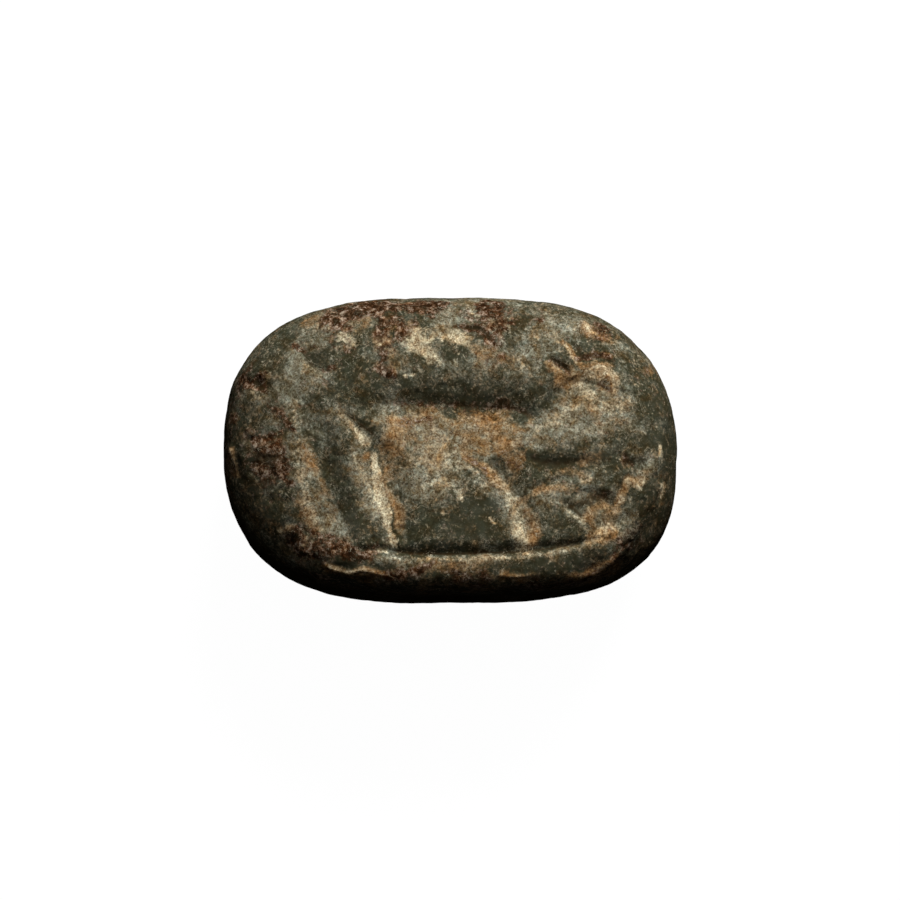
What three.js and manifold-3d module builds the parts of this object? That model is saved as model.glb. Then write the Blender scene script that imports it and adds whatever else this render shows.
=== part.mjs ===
// A stone stamp seal: a cushion-shaped stone, pierced lengthwise for a cord, whose face is cut in
// intaglio with a horned animal that walks on a ground line. Earth still lies in the cuts, lime fills
// the small mark above the animal's back, and an iron-brown burial crust sits on the face in patches.
//
// Millimetres, +Z up. The seal lies on its back with the engraved face up, +X along its length and
// +Y towards the top of the picture. The origin is the middle of the flat on the back.

import * as THREE from "three";
import { mergeVertices } from "three/addons/utils/BufferGeometryUtils.js";
import Module from "manifold-3d";

const wasm = await Module();
wasm.setup();

// Driving dimensions of the stone.
const SEAL_LENGTH = 25.0;
const SEAL_WIDTH = 16.5;
const SEAL_THICKNESS = 11.0;
const WAIST_HEIGHT = 4.6; // of the widest contour, above the back
const BACK_FLAT_WIDTH = 8.6; // of the flat that the seal lies on, across its width

// How square the rounded forms are: 2 is an ellipse, more is closer to a box. Across the seal, each
// quarter of the outline has its own.
const OUTLINE_ALONG_SQUARENESS = 3.25;
const LOWER_LEFT_SQUARENESS = 2.25;
const LOWER_RIGHT_SQUARENESS = 2.95;
const UPPER_LEFT_SQUARENESS = 2.45;
const UPPER_RIGHT_SQUARENESS = 2.1;
const BACK_SQUARENESS = 2.4;

// The face's own squareness in plan directions, in degrees from +X: its edge is worn soft on the lower
// left of the picture and crisp along the bottom.
const FACE_SQUARENESS = [
  [-180, 4],
  [-165, 3.6],
  [-148, 3.6],
  [-128, 7],
  [-105, 12],
  [-60, 12],
  [-40, 6],
  [-24, 4],
  [0, 4.5],
  [150, 4.5],
  [180, 4],
];

// The cord hole, drilled from both ends, so it is narrowest in the middle.
const HOLE_WAIST_DIAMETER = 2.2;
const HOLE_MOUTH_DIAMETER = 3.2;
const HOLE_OVERRUN = 1.0; // of the drill past each end of the stone

// Earth and lime in the cuts, and crust on the face.
const SEAT_CLEARANCE = 0.05; // between a deposit and the stone that carries it
const SILT_FREEBOARD = 0.3; // from the polished face down to the top of the silt
const LIME_FREEBOARD = 0.08; // from the polished face down to the top of the lime
const CRUST_HEIGHT = 0.26; // of a crust's middle, above the polished face

// Fineness of the facets.
const OUTLINE_SIDES = 72;
const FACE_RINGS = 14;
const BACK_RINGS = 8;
const HOLE_SIDES = 24;
const STROKE_SIDES = 12;
const STROKE_STEPS = 12;
const WELD_DISTANCE = 1e-4;
const NEWTON_STEPS = 8;

const HALF_LENGTH = SEAL_LENGTH / 2;
const HALF_WIDTH = SEAL_WIDTH / 2;

// The engraver's cuts. Each runs through its points, which are shares of the seal's half length and
// half width from the middle of the face. Half widths and depths are in millimetres.
const CUTS = {
  back: { points: [[-0.38, 0.18], [0, 0.17], [0.38, 0.13]], halfWidth: 1.0, depth: 1.1 },
  flank: { points: [[-0.36, -0.07], [0, -0.12], [0.36, -0.07]], halfWidth: 2.4, depth: 0.75 },
  hindLeg: { points: [[-0.4, 0.16], [-0.31, -0.25], [-0.22, -0.77]], halfWidth: 0.75, depth: 0.7 },
  tail: { points: [[-0.64, 0.6], [-0.64, 0.2], [-0.57, -0.25], [-0.45, -0.72]], halfWidth: 1.2, depth: 0.65 },
  foreleg: { points: [[0.08, 0], [0.23, -0.35], [0.35, -0.79]], halfWidth: 0.8, depth: 0.7 },
  raisedLeg: { points: [[0.31, -0.22], [0.54, -0.21], [0.78, -0.27]], halfWidth: 0.72, depth: 0.55 },
  lowHollow: { points: [[0.46, -0.42], [0.62, -0.56], [0.79, -0.5]], halfWidth: 0.95, depth: 0.6 },
  neck: { points: [[0.31, -0.09], [0.5, 0.12], [0.68, 0.35]], halfWidth: 1.35, depth: 0.65 },
  head: { points: [[0.52, 0.38], [0.65, 0.42], [0.77, 0.36]], halfWidth: 0.75, depth: 0.65 },
  muzzle: { points: [[0.62, 0.24], [0.76, 0.19], [0.89, 0.14]], halfWidth: 1.1, depth: 0.35 },
  nearHorn: { points: [[0.42, 0.57], [0.54, 0.38]], halfWidth: 0.34, depth: 0.4 },
  farHorn: { points: [[0.49, 0.68], [0.59, 0.45]], halfWidth: 0.38, depth: 0.4 },
  markBar: { points: [[-0.2, 0.72], [-0.05, 0.44]], halfWidth: 0.5, depth: 0.35 },
  markArc: { points: [[-0.09, 0.54], [0.02, 0.69], [0.16, 0.55]], halfWidth: 0.5, depth: 0.35 },
  groundLine: {
    points: [[-0.4, -0.745], [0.02, -0.775], [0.42, -0.73], [0.69, -0.62]],
    halfWidth: 0.36,
    depth: 0.45,
  },
};

// The crusts. Each is made of lobes that are laid out in the same way.
const CRUSTS = {
  iron_crust_top_left: [
    { points: [[-0.55, 0.74], [-0.4, 0.82]], halfWidth: 0.8 },
    { points: [[-0.46, 0.82], [-0.22, 0.86]], halfWidth: 0.5 },
  ],
  iron_crust_upper: [
    { points: [[-0.25, 0.74], [-0.26, 0.4]], halfWidth: 0.45 },
    { points: [[-0.34, 0.62], [-0.23, 0.54]], halfWidth: 0.42 },
  ],
  iron_crust_top: [
    { points: [[0.05, 0.82], [0.23, 0.61]], halfWidth: 0.7 },
    { points: [[0.12, 0.77], [0.27, 0.72]], halfWidth: 0.5 },
  ],
  iron_crust_shoulder: [
    { points: [[0.57, 0.76], [0.69, 0.68]], halfWidth: 0.5 },
    { points: [[0.6, 0.66], [0.66, 0.76]], halfWidth: 0.4 },
  ],
  iron_crust_left: [
    { points: [[-0.88, 0.44], [-0.75, 0.38]], halfWidth: 0.6 },
    { points: [[-0.84, 0.34], [-0.79, 0.5]], halfWidth: 0.5 },
  ],
  iron_crust_flank: [
    { points: [[-0.86, 0.08], [-0.74, -0.28]], halfWidth: 0.75 },
    { points: [[-0.88, -0.04], [-0.75, 0.02]], halfWidth: 0.7 },
  ],
  iron_crust_lower_left: [
    { points: [[-0.69, -0.62], [-0.52, -0.77]], halfWidth: 0.5 },
    { points: [[-0.68, -0.52], [-0.6, -0.72]], halfWidth: 0.45 },
  ],
  iron_crust_lower_right: [
    { points: [[0.73, -0.68], [0.84, -0.56]], halfWidth: 0.45 },
    { points: [[0.75, -0.58], [0.81, -0.66]], halfWidth: 0.4 },
  ],
};

const STONE = new THREE.MeshStandardMaterial({ color: 0x3d4036, roughness: 0.55, metalness: 0 });
const SILT = new THREE.MeshStandardMaterial({ color: 0x8c7a5f, roughness: 0.95, metalness: 0 });
const LIME = new THREE.MeshStandardMaterial({ color: 0xa89c80, roughness: 0.95, metalness: 0 });
const IRON_CRUST = new THREE.MeshStandardMaterial({ color: 0x4a2f25, roughness: 0.9, metalness: 0 });

// A closed three.js geometry as a solid that can be joined and cut.
function solid(geometry) {
  geometry.deleteAttribute("normal");
  geometry.deleteAttribute("uv");
  const welded = mergeVertices(geometry, WELD_DISTANCE);
  const vertProperties = welded.getAttribute("position").array;
  const triVerts = new Uint32Array(welded.index.array);
  return new wasm.Manifold(new wasm.Mesh({ numProp: 3, vertProperties, triVerts }));
}

// Several solids as one.
function joined(solids) {
  return solids.reduce((whole, part) => whole.add(part));
}

// A solid's surface as a named three.js mesh.
function piece(name, body, material) {
  const { vertProperties, triVerts } = body.getMesh();
  const geometry = new THREE.BufferGeometry();
  geometry.setAttribute("position", new THREE.BufferAttribute(vertProperties, 3));
  geometry.setIndex(new THREE.BufferAttribute(triVerts, 1));
  geometry.computeVertexNormals();
  const mesh = new THREE.Mesh(geometry, material);
  mesh.name = name;
  return mesh;
}

// Moves every vertex of a geometry to where the function puts it.
function reshape(geometry, place) {
  const position = geometry.getAttribute("position");
  const vertex = new THREE.Vector3();
  for (let i = 0; i < position.count; i += 1) {
    vertex.fromBufferAttribute(position, i);
    position.setXYZ(i, ...place(vertex));
  }
  return geometry;
}

// How square the outline is across the seal, in the quarter that a plan angle points to.
function acrossSquareness(angle) {
  if (Math.sin(angle) > 0) return Math.cos(angle) > 0 ? UPPER_RIGHT_SQUARENESS : UPPER_LEFT_SQUARENESS;
  return Math.cos(angle) > 0 ? LOWER_RIGHT_SQUARENESS : LOWER_LEFT_SQUARENESS;
}

// The distance from the middle of the plan to the outline, in the direction of a plan angle. It solves
// (radius * along) ** squareness + (radius * across) ** squareness = 1 by Newton's steps.
function outlineRadius(angle, grow) {
  const along = Math.abs(Math.cos(angle)) / (HALF_LENGTH + grow);
  const across = Math.abs(Math.sin(angle)) / (HALF_WIDTH + grow);
  const squareness = acrossSquareness(angle);
  let radius = 1 / Math.max(along, across);
  for (let i = 0; i < NEWTON_STEPS; i += 1) {
    const a = (radius * along) ** OUTLINE_ALONG_SQUARENESS;
    const b = (radius * across) ** squareness;
    radius *= Math.exp((1 - a - b) / (OUTLINE_ALONG_SQUARENESS * a + squareness * b));
  }
  return radius;
}

// How square the face is in the direction of a plan angle, eased from one row of the table to the next.
function faceSquareness(angle) {
  const degrees = THREE.MathUtils.radToDeg(angle);
  const next = Math.max(1, FACE_SQUARENESS.findIndex(([direction]) => direction >= degrees));
  const [start, startSquareness] = FACE_SQUARENESS[next - 1];
  const [end, endSquareness] = FACE_SQUARENESS[next];
  const share = THREE.MathUtils.smoothstep(degrees, start, end);
  return THREE.MathUtils.lerp(startSquareness, endSquareness, share);
}

// The height of the polished face above a point of the plan.
function faceHeight(x, y) {
  const angle = Math.atan2(y, x);
  const share = Math.hypot(x, y) / outlineRadius(angle, 0);
  const squareness = faceSquareness(angle);
  const rise = Math.max(0, 1 - share ** squareness) ** (1 / squareness);
  return WAIST_HEIGHT + (SEAL_THICKNESS - WAIST_HEIGHT) * rise;
}

// The uncut stone: a ball with a flat below, whose round profile and round plan are drawn out to the
// stone's. It can be grown all round, which is the form of what lies close over it.
function cushion(grow = 0) {
  const flatShare = BACK_FLAT_WIDTH / SEAL_WIDTH;
  const flatStart = Math.asin(flatShare ** (BACK_SQUARENESS / 2));
  const flatRise = Math.cos(flatStart) ** (2 / BACK_SQUARENESS);
  const backDrop = (WAIST_HEIGHT + grow) / flatRise;
  const faceRise = SEAL_THICKNESS - WAIST_HEIGHT + grow;
  const profile = [new THREE.Vector2(0, -Math.cos(flatStart))];
  for (let i = 0; i < BACK_RINGS; i += 1) {
    const turn = THREE.MathUtils.lerp(flatStart, Math.PI / 2, i / BACK_RINGS);
    profile.push(new THREE.Vector2(Math.sin(turn), -Math.cos(turn)));
  }
  for (let i = FACE_RINGS; i > 0; i -= 1) {
    const turn = (Math.PI / 2) * (i / FACE_RINGS);
    profile.push(new THREE.Vector2(Math.sin(turn), Math.cos(turn)));
  }
  profile.push(new THREE.Vector2(0, 1));
  return solid(
    reshape(new THREE.LatheGeometry(profile, OUTLINE_SIDES), ({ x, y: level, z }) => {
      const angle = Math.atan2(-z, x);
      const squareness = level < 0 ? BACK_SQUARENESS : faceSquareness(angle);
      const reach = Math.hypot(x, z) ** (2 / squareness) * outlineRadius(angle, grow);
      const rise = Math.abs(level) ** (2 / squareness) * (level < 0 ? -backDrop : faceRise);
      return [reach * Math.cos(angle), reach * Math.sin(angle), WAIST_HEIGHT + rise];
    }),
  );
}

// A ball drawn out along a line on the face, half sunk in it. The lower half is the hollow that a
// gouge leaves, full in the middle and running out at both ends, and the upper half is a low mound.
function stroke(points, halfWidth, depth) {
  const places = points.map(([along, up]) => new THREE.Vector2(along * HALF_LENGTH, up * HALF_WIDTH));
  const line = new THREE.SplineCurve(places);
  const ball = new THREE.SphereGeometry(1, STROKE_SIDES, STROKE_STEPS);
  return solid(
    reshape(ball, ({ x, y, z }) => {
      const share = (1 + y) / 2;
      const middle = line.getPoint(share);
      const heading = line.getTangent(share);
      const placeX = middle.x + heading.y * x * halfWidth;
      const placeY = middle.y - heading.x * x * halfWidth;
      return [placeX, placeY, faceHeight(placeX, placeY) + z * depth];
    }),
  );
}

// The hole for a cord: one drilling from each end, both tapering to where they meet.
function cordHole() {
  const reach = HALF_LENGTH + HOLE_OVERRUN;
  const mouth = HOLE_MOUTH_DIAMETER / 2;
  const profile = [
    new THREE.Vector2(0, -reach),
    new THREE.Vector2(mouth, -reach),
    new THREE.Vector2(HOLE_WAIST_DIAMETER / 2, 0),
    new THREE.Vector2(mouth, reach),
    new THREE.Vector2(0, reach),
  ];
  const drill = new THREE.LatheGeometry(profile, HOLE_SIDES).rotateZ(-Math.PI / 2);
  return solid(drill.translate(0, 0, WAIST_HEIGHT));
}

function cut(name, clearance = 0) {
  const { points, halfWidth, depth } = CUTS[name];
  return stroke(points, halfWidth - clearance, depth - clearance);
}

// The stone, with every cut of the picture and the cord hole taken out of it.
function sealStone() {
  const cuts = Object.keys(CUTS).map((name) => cut(name));
  return piece("seal_stone", cushion().subtract(cordHole()).subtract(joined(cuts)), STONE);
}

// What lies in some of the cuts, up to a level below the face. It has their own form, smaller by the
// seat clearance, and stays out of the neighbouring cuts that hold other fillings.
function filling(name, cutNames, freeboard, neighbours, material) {
  const level = cushion().translate(0, 0, -freeboard);
  let body = joined(cutNames.map((cutName) => cut(cutName, SEAT_CLEARANCE))).intersect(level);
  for (const neighbour of neighbours) body = body.subtract(cut(neighbour));
  return piece(name, body, material);
}

// A crust: low mounds that run into each other, over the stone by the seat clearance.
function crust(name) {
  const lobes = CRUSTS[name].map(({ points, halfWidth }) => stroke(points, halfWidth, CRUST_HEIGHT));
  return piece(name, joined(lobes).subtract(cushion(SEAT_CLEARANCE)), IRON_CRUST);
}

const seal = new THREE.Group();
seal.name = "stamp_seal";
seal.add(sealStone());
seal.add(filling("silt_in_body", ["back", "flank"], SILT_FREEBOARD, [], SILT));
seal.add(filling("silt_in_hind_leg", ["hindLeg"], SILT_FREEBOARD, ["back", "flank"], SILT));
seal.add(filling("silt_in_tail", ["tail"], SILT_FREEBOARD, [], SILT));
seal.add(filling("silt_in_foreleg", ["foreleg"], SILT_FREEBOARD, ["back", "flank"], SILT));
seal.add(filling("silt_in_neck", ["neck"], SILT_FREEBOARD, ["back", "flank", "head"], SILT));
seal.add(filling("silt_in_head", ["head"], SILT_FREEBOARD, [], SILT));
seal.add(filling("silt_in_low_hollow", ["lowHollow"], SILT_FREEBOARD, ["raisedLeg"], SILT));
seal.add(filling("lime_in_mark", ["markBar", "markArc"], LIME_FREEBOARD, [], LIME));
for (const name of Object.keys(CRUSTS)) seal.add(crust(name));

export default seal;
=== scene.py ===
"""The looks of a worn stone stamp seal: its engraved stone, and the earth, lime and iron crust on it.

Shapes are worked out in millimetres, in the frame of the part: the seal lies on its back, its face looks
up along +Z, +X runs along its length and +Y towards the top of the engraved picture.
"""

import math

import bpy
import numpy as np
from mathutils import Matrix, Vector


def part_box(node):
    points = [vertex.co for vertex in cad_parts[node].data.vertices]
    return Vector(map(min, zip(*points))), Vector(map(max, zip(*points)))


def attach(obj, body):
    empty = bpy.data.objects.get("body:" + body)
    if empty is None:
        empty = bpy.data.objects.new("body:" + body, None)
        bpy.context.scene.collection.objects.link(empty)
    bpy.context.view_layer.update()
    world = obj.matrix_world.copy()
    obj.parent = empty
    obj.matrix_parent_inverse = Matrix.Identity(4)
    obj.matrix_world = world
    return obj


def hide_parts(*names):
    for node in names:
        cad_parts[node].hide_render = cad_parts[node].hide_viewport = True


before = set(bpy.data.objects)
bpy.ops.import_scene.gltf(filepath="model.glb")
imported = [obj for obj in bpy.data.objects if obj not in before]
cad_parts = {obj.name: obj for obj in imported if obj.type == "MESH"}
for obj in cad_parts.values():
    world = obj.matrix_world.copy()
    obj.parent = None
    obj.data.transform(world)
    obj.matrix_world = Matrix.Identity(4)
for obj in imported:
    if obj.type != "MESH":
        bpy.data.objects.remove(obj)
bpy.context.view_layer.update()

MM = 0.001

# The uncut stone, as the part has it. Squareness 2 is an ellipse, and more is closer to a box.
LOW, HIGH = (np.array(corner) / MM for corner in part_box("seal_stone"))
HALF_LENGTH = (HIGH[0] - LOW[0]) / 2
HALF_WIDTH = (HIGH[1] - LOW[1]) / 2
THICKNESS = HIGH[2] - LOW[2]
WAIST_HEIGHT = 4.6
BACK_FLAT_WIDTH = 8.6
OUTLINE_ALONG = 3.25
OUTLINE_ACROSS = ((2.25, 2.95), (2.45, 2.1))  # lower left and lower right, upper left and upper right
FACE_SQUARENESS = [  # plan direction in degrees from +X, squareness
    (-180, 4.0), (-165, 3.6), (-148, 3.6), (-128, 7.0), (-105, 12.0), (-60, 12.0), (-40, 6.0), (-24, 4.0),
    (0, 4.5), (150, 4.5), (180, 4.0)]
BACK_SQUARENESS = 2.4
HOLE_WAIST_DIAMETER = 2.2
HOLE_MOUTH_DIAMETER = 3.2
HOLE_OVERRUN = 1.0  # of the drill, past each end of the stone

FACE_RISE = THICKNESS - WAIST_HEIGHT
FLAT_SHARE = BACK_FLAT_WIDTH / (2 * HALF_WIDTH)
BACK_DROP = WAIST_HEIGHT / (1 - FLAT_SHARE**BACK_SQUARENESS) ** (1 / BACK_SQUARENESS)

# Fineness of the meshes. The stone's side and back have half as many columns as its face.
FACE_COLUMNS = 288
FACE_ROWS = 192
FACE_SHARE = 0.95  # of the outline, that the face's grid covers
SIDE_RINGS = 32
BACK_RINGS = 18
DRILL_SIDES = 56
DRILL_STEPS = 40
DRILL_TURN = 0.37  # of one side
DEPOSIT_STEP = 0.075
LINE_STEPS = 14  # of a stroke's line, from one row to the next

# Arithmetic: what stands for nothing where a division needs more, and what the noise is hashed with.
TINY = 1e-9
NEWTON_STEPS = 8
HASH_FACTORS = (374761393, 668265263, 1440662683, 974634777)
HASH_FOLD = 1274126177
HASH_WORD = 0xFFFFFFFF

# How strokes are drawn.
LEAST_REACH = 0.01
MERGE_POWER = 4  # the more, the crisper the line where two cuts meet
RIDGE_KEEN = 1.2
FLAKE_KEEN = 4
CRUST_KEEN = 3.0
STRAY_SHARE = 0.5  # of a stroke's reach, that stains and crusts stray
STRAY_SIZE = 1.0
STRAY_SEEDS = (401, 411)  # along X, along Y
FACE_FADE = (WAIST_HEIGHT + 2.4, 2.0)  # height where cuts and stains of the face come in, and over how much

# The worn skin of the stone.
WAVES = [(0.06, 3.5, 11), (0.025, 1.1, 21)]  # height, size, seed
PITS = [(0.12, 0.7, 31, 0.5), (0.08, 0.35, 41, 0.45)]  # depth, size, seed, level of the noise where they open
GRAIN_HEIGHT = 0.014  # outside the cuts, and twice as much in a deep one
GRAIN_SIZE = 0.3
GRAIN_SEED = 51
DEEP_CUT = 0.25
WEAR_FADE = 0.6  # the height over which wear comes in above the back's flat

# The skin of a deposit.
DEPOSIT_MARGIN = 1.3  # of the widest reach, round the strokes
DEPOSIT_ROOT = 0.16  # how deep the underside lies in the stone
DEPOSIT_EDGE = 0.05  # how deep the top dips under the stone where the skin ends
DEPOSIT_SETTLE = 0.015  # how much lower the skin lies than its strokes say
DEPOSIT_LIMIT = 0.97  # of the outline, past which nothing lies
FULL_COVER = 0.05  # the height at which the stone no longer shows through
CRUMB_SIZE = 3  # times that of the grains
GRAINS_AT_EDGE = 0.006  # their height where the skin is thin
GRAINS_IN_BODY = 0.3  # of the skin's height, which is added to that
GRAINS_SEED = 7  # past that of the crumbs

# The engraver's cuts, in millimetres from the middle of the face. The first two numbers tell how keen the
# cut is to the left and to the right of its way: 1 is a sharp groove, 2 a round hollow, and more a
# flat-bottomed chip. Then come the rows that it runs through: x, y, reach to the left, reach to the right,
# depth.
CUTS = {
    "back": (1.1, 1.5, [
        (-4.6, 1.65, 1.2, 1.2, 0.2), (-3.6, 1.8, 1.7, 2.2, 0.42), (-1.5, 1.85, 1.95, 4.2, 0.6),
        (0.8, 1.7, 2.1, 4.9, 0.64), (2.9, 1.6, 2.1, 3.6, 0.62), (4.4, 1.15, 1.8, 1.8, 0.45),
        (4.9, 0.5, 1.2, 1.2, 0.22)]),
    "rump": (1.7, 1.7, [
        (-6.2, 1.2, 0.9, 0.5, 0.08), (-5.2, 0.5, 1.3, 0.7, 0.18), (-4.3, -0.5, 1.5, 0.9, 0.25),
        (-3.8, -1.4, 1.5, 1.2, 0.25)]),
    "hind_leg": (1.3, 1.1, [
        (-3.8, -0.5, 1.2, 0.5, 0.16), (-3.4, -2.05, 1.4, 0.5, 0.26), (-3.05, -3.6, 1.4, 0.5, 0.3),
        (-2.7, -5.0, 1.2, 0.5, 0.28), (-2.5, -5.9, 0.9, 0.5, 0.18)]),
    "thigh": (1.8, 1.8, [
        (-4.2, -0.9, 0.6, 1.7, 0.1), (-4.0, -2.2, 0.6, 1.9, 0.16), (-3.6, -3.8, 0.6, 1.8, 0.16),
        (-3.2, -5.2, 0.6, 1.5, 0.12)]),
    "tail": (1.7, 1.6, [
        (-8.0, 2.2, 1.2, 1.0, 0.1), (-7.6, 1.0, 1.4, 1.3, 0.2), (-7.25, 0.0, 1.5, 1.5, 0.28),
        (-7.0, -1.2, 1.6, 1.6, 0.34), (-6.7, -2.6, 1.6, 1.6, 0.34), (-6.3, -4.2, 1.5, 1.6, 0.3),
        (-5.8, -5.5, 1.2, 1.3, 0.18)]),
    "tail_top": (1.4, 1.2, [
        (-8.1, 5.1, 0.5, 0.4, 0.08), (-7.85, 4.6, 1.0, 0.45, 0.22), (-7.5, 4.05, 1.3, 0.5, 0.26),
        (-7.0, 3.7, 1.2, 0.5, 0.2), (-6.5, 3.45, 0.8, 0.4, 0.06)]),
    "left_pit": (1.8, 1.8, [
        (-11.2, 3.3, 0.5, 0.5, 0.06), (-10.6, 3.2, 0.55, 0.5, 0.13), (-10.1, 2.9, 0.5, 0.45, 0.14),
        (-9.8, 2.7, 0.3, 0.3, 0.04)]),
    "foreleg": (1.5, 1.15, [
        (1.0, -0.8, 1.0, 0.4, 0.08), (2.0, -1.5, 1.3, 0.5, 0.2), (3.0, -2.6, 1.5, 0.55, 0.28),
        (3.7, -3.8, 1.4, 0.55, 0.3), (4.15, -5.0, 1.2, 0.55, 0.28), (4.35, -6.0, 0.9, 0.5, 0.16)]),
    "raised_leg": (1.5, 1.5, [
        (4.1, -1.2, 0.5, 0.8, 0.08), (5.2, -1.45, 0.65, 1.2, 0.2), (6.6, -1.45, 0.65, 1.2, 0.2),
        (7.8, -1.45, 0.6, 1.1, 0.14), (8.8, -1.3, 0.4, 0.8, 0.06)]),
    "low_hollow": (1.6, 1.6, [
        (5.9, -3.5, 0.5, 0.5, 0.06), (6.5, -3.8, 0.6, 0.7, 0.18), (7.0, -4.1, 0.6, 0.6, 0.2),
        (7.3, -4.5, 0.4, 0.4, 0.08)]),
    "limb_hollow": (1.6, 1.5, [
        (7.1, -3.1, 0.4, 0.9, 0.1), (7.9, -3.15, 0.5, 1.2, 0.2), (8.6, -3.35, 0.5, 1.2, 0.22),
        (9.1, -3.8, 0.4, 0.8, 0.1)]),
    "hollow_lip": (1.8, 1.8, [
        (7.2, -5.2, 0.5, 0.5, 0.04), (8.0, -4.9, 0.7, 0.7, 0.1), (8.9, -4.6, 0.7, 0.7, 0.1),
        (9.6, -4.3, 0.5, 0.5, 0.04)]),
    "limb_line": (1.3, 1.2, [
        (3.9, -3.2, 0.5, 0.5, 0.08), (4.9, -2.75, 0.6, 0.5, 0.16), (6.0, -2.35, 0.6, 0.5, 0.14),
        (7.2, -2.1, 0.5, 0.4, 0.08)]),
    "neck": (1.45, 1.6, [
        (4.4, 0.0, 0.7, 1.2, 0.18), (4.8, 1.0, 1.0, 2.0, 0.36), (5.5, 2.0, 1.2, 2.8, 0.38),
        (6.3, 2.7, 1.0, 2.8, 0.32), (7.4, 3.0, 0.7, 2.4, 0.22), (8.6, 2.8, 0.6, 2.0, 0.14)]),
    "near_horn": (1.5, 1.5, [
        (5.4, 4.4, 0.25, 0.3, 0.05), (5.8, 4.05, 0.42, 0.4, 0.17), (6.3, 3.7, 0.45, 0.4, 0.2),
        (6.65, 3.5, 0.3, 0.35, 0.07)]),
    "far_horn": (1.2, 1.2, [
        (6.5, 5.3, 0.25, 0.25, 0.05), (6.8, 4.95, 0.4, 0.32, 0.14), (7.0, 4.55, 0.45, 0.34, 0.17),
        (7.3, 4.3, 0.4, 0.32, 0.1)]),
    "brow": (1.4, 1.3, [
        (6.9, 4.1, 0.35, 0.35, 0.08), (7.4, 4.3, 0.4, 0.4, 0.13), (8.1, 4.4, 0.4, 0.45, 0.13),
        (8.7, 4.15, 0.4, 0.45, 0.1), (9.2, 3.6, 0.35, 0.4, 0.06)]),
    "cheek": (1.4, 1.4, [
        (6.6, 3.1, 0.5, 0.5, 0.06), (7.4, 3.4, 0.5, 0.5, 0.12), (8.2, 3.3, 0.5, 0.5, 0.1)]),
    "eye": (1.6, 1.6, [(8.1, 2.95, 0.4, 0.4, 0.14), (8.6, 2.6, 0.4, 0.4, 0.16)]),
    "ground_line": (1.15, 1.15, [
        (-5.0, -6.15, 0.4, 0.3, 0.1), (-3.8, -6.25, 0.6, 0.4, 0.24), (-2.4, -6.36, 0.8, 0.46, 0.34),
        (0.0, -6.4, 0.8, 0.46, 0.4), (2.5, -6.33, 0.8, 0.46, 0.4), (5.0, -6.12, 0.7, 0.44, 0.36),
        (7.0, -5.85, 0.6, 0.42, 0.24), (8.3, -5.5, 0.45, 0.45, 0.06)]),
    "mark_bar": (1.6, 1.6, [
        (-2.3, 5.8, 0.5, 0.5, 0.05), (-1.5, 4.8, 0.5, 0.6, 0.16), (-1.1, 3.8, 0.4, 0.5, 0.08)]),
    "mark_arc": (1.6, 1.6, [
        (-1.4, 5.3, 0.4, 0.4, 0.08), (-0.4, 5.65, 0.4, 0.5, 0.15), (0.4, 5.5, 0.4, 0.5, 0.15),
        (1.1, 5.1, 0.4, 0.4, 0.06)]),
    "rump_line": (1.0, 1.0, [
        (-6.0, 1.5, 0.14, 0.16, 0.06), (-5.2, 1.0, 0.18, 0.22, 0.16), (-4.5, 0.45, 0.18, 0.22, 0.18),
        (-3.9, -0.1, 0.16, 0.2, 0.14), (-3.5, -0.5, 0.14, 0.16, 0.05)]),
    "crust_crack": (1.2, 1.2, [
        (0.5, 6.1, 0.2, 0.2, 0.03), (1.2, 6.0, 0.26, 0.3, 0.1), (1.85, 5.85, 0.3, 0.3, 0.1),
        (2.1, 5.4, 0.3, 0.34, 0.1), (2.5, 5.0, 0.25, 0.25, 0.04)]),
    "right_pits": (1.8, 1.8, [
        (9.1, -1.0, 0.4, 0.4, 0.1), (9.7, -1.4, 0.5, 0.5, 0.15), (10.5, -1.4, 0.5, 0.5, 0.15),
        (11.0, -1.0, 0.35, 0.35, 0.05)]),
    "right_crack": (1.2, 1.2, [
        (9.5, -2.2, 0.3, 0.3, 0.1), (9.2, -3.0, 0.3, 0.4, 0.16), (9.05, -4.0, 0.3, 0.4, 0.12)]),
    "corner_chip": (5.0, 5.0, [
        (7.4, -8.3, 0.6, 0.8, 0.06), (9.0, -7.6, 0.9, 1.6, 0.24), (10.6, -6.4, 1.1, 1.8, 0.26),
        (11.0, -5.0, 0.8, 1.5, 0.1)]),
    "worn_right": (1.6, 1.6, [
        (12.6, 1.0, 1.0, 1.0, 0.1), (12.5, -1.5, 1.6, 1.6, 0.25), (11.8, -4.0, 1.8, 1.8, 0.35),
        (10.6, -5.8, 1.6, 1.6, 0.3), (9.4, -6.8, 1.0, 1.0, 0.1)]),
    "edge_chips": (4.0, 4.0, [
        (-6.7, -7.3, 0.3, 0.4, 0.08), (-6.1, -7.7, 0.3, 0.5, 0.14), (-5.0, -7.85, 0.35, 0.5, 0.15),
        (-4.2, -7.85, 0.3, 0.5, 0.12), (-3.6, -8.0, 0.2, 0.4, 0.06)]),
}

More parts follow.
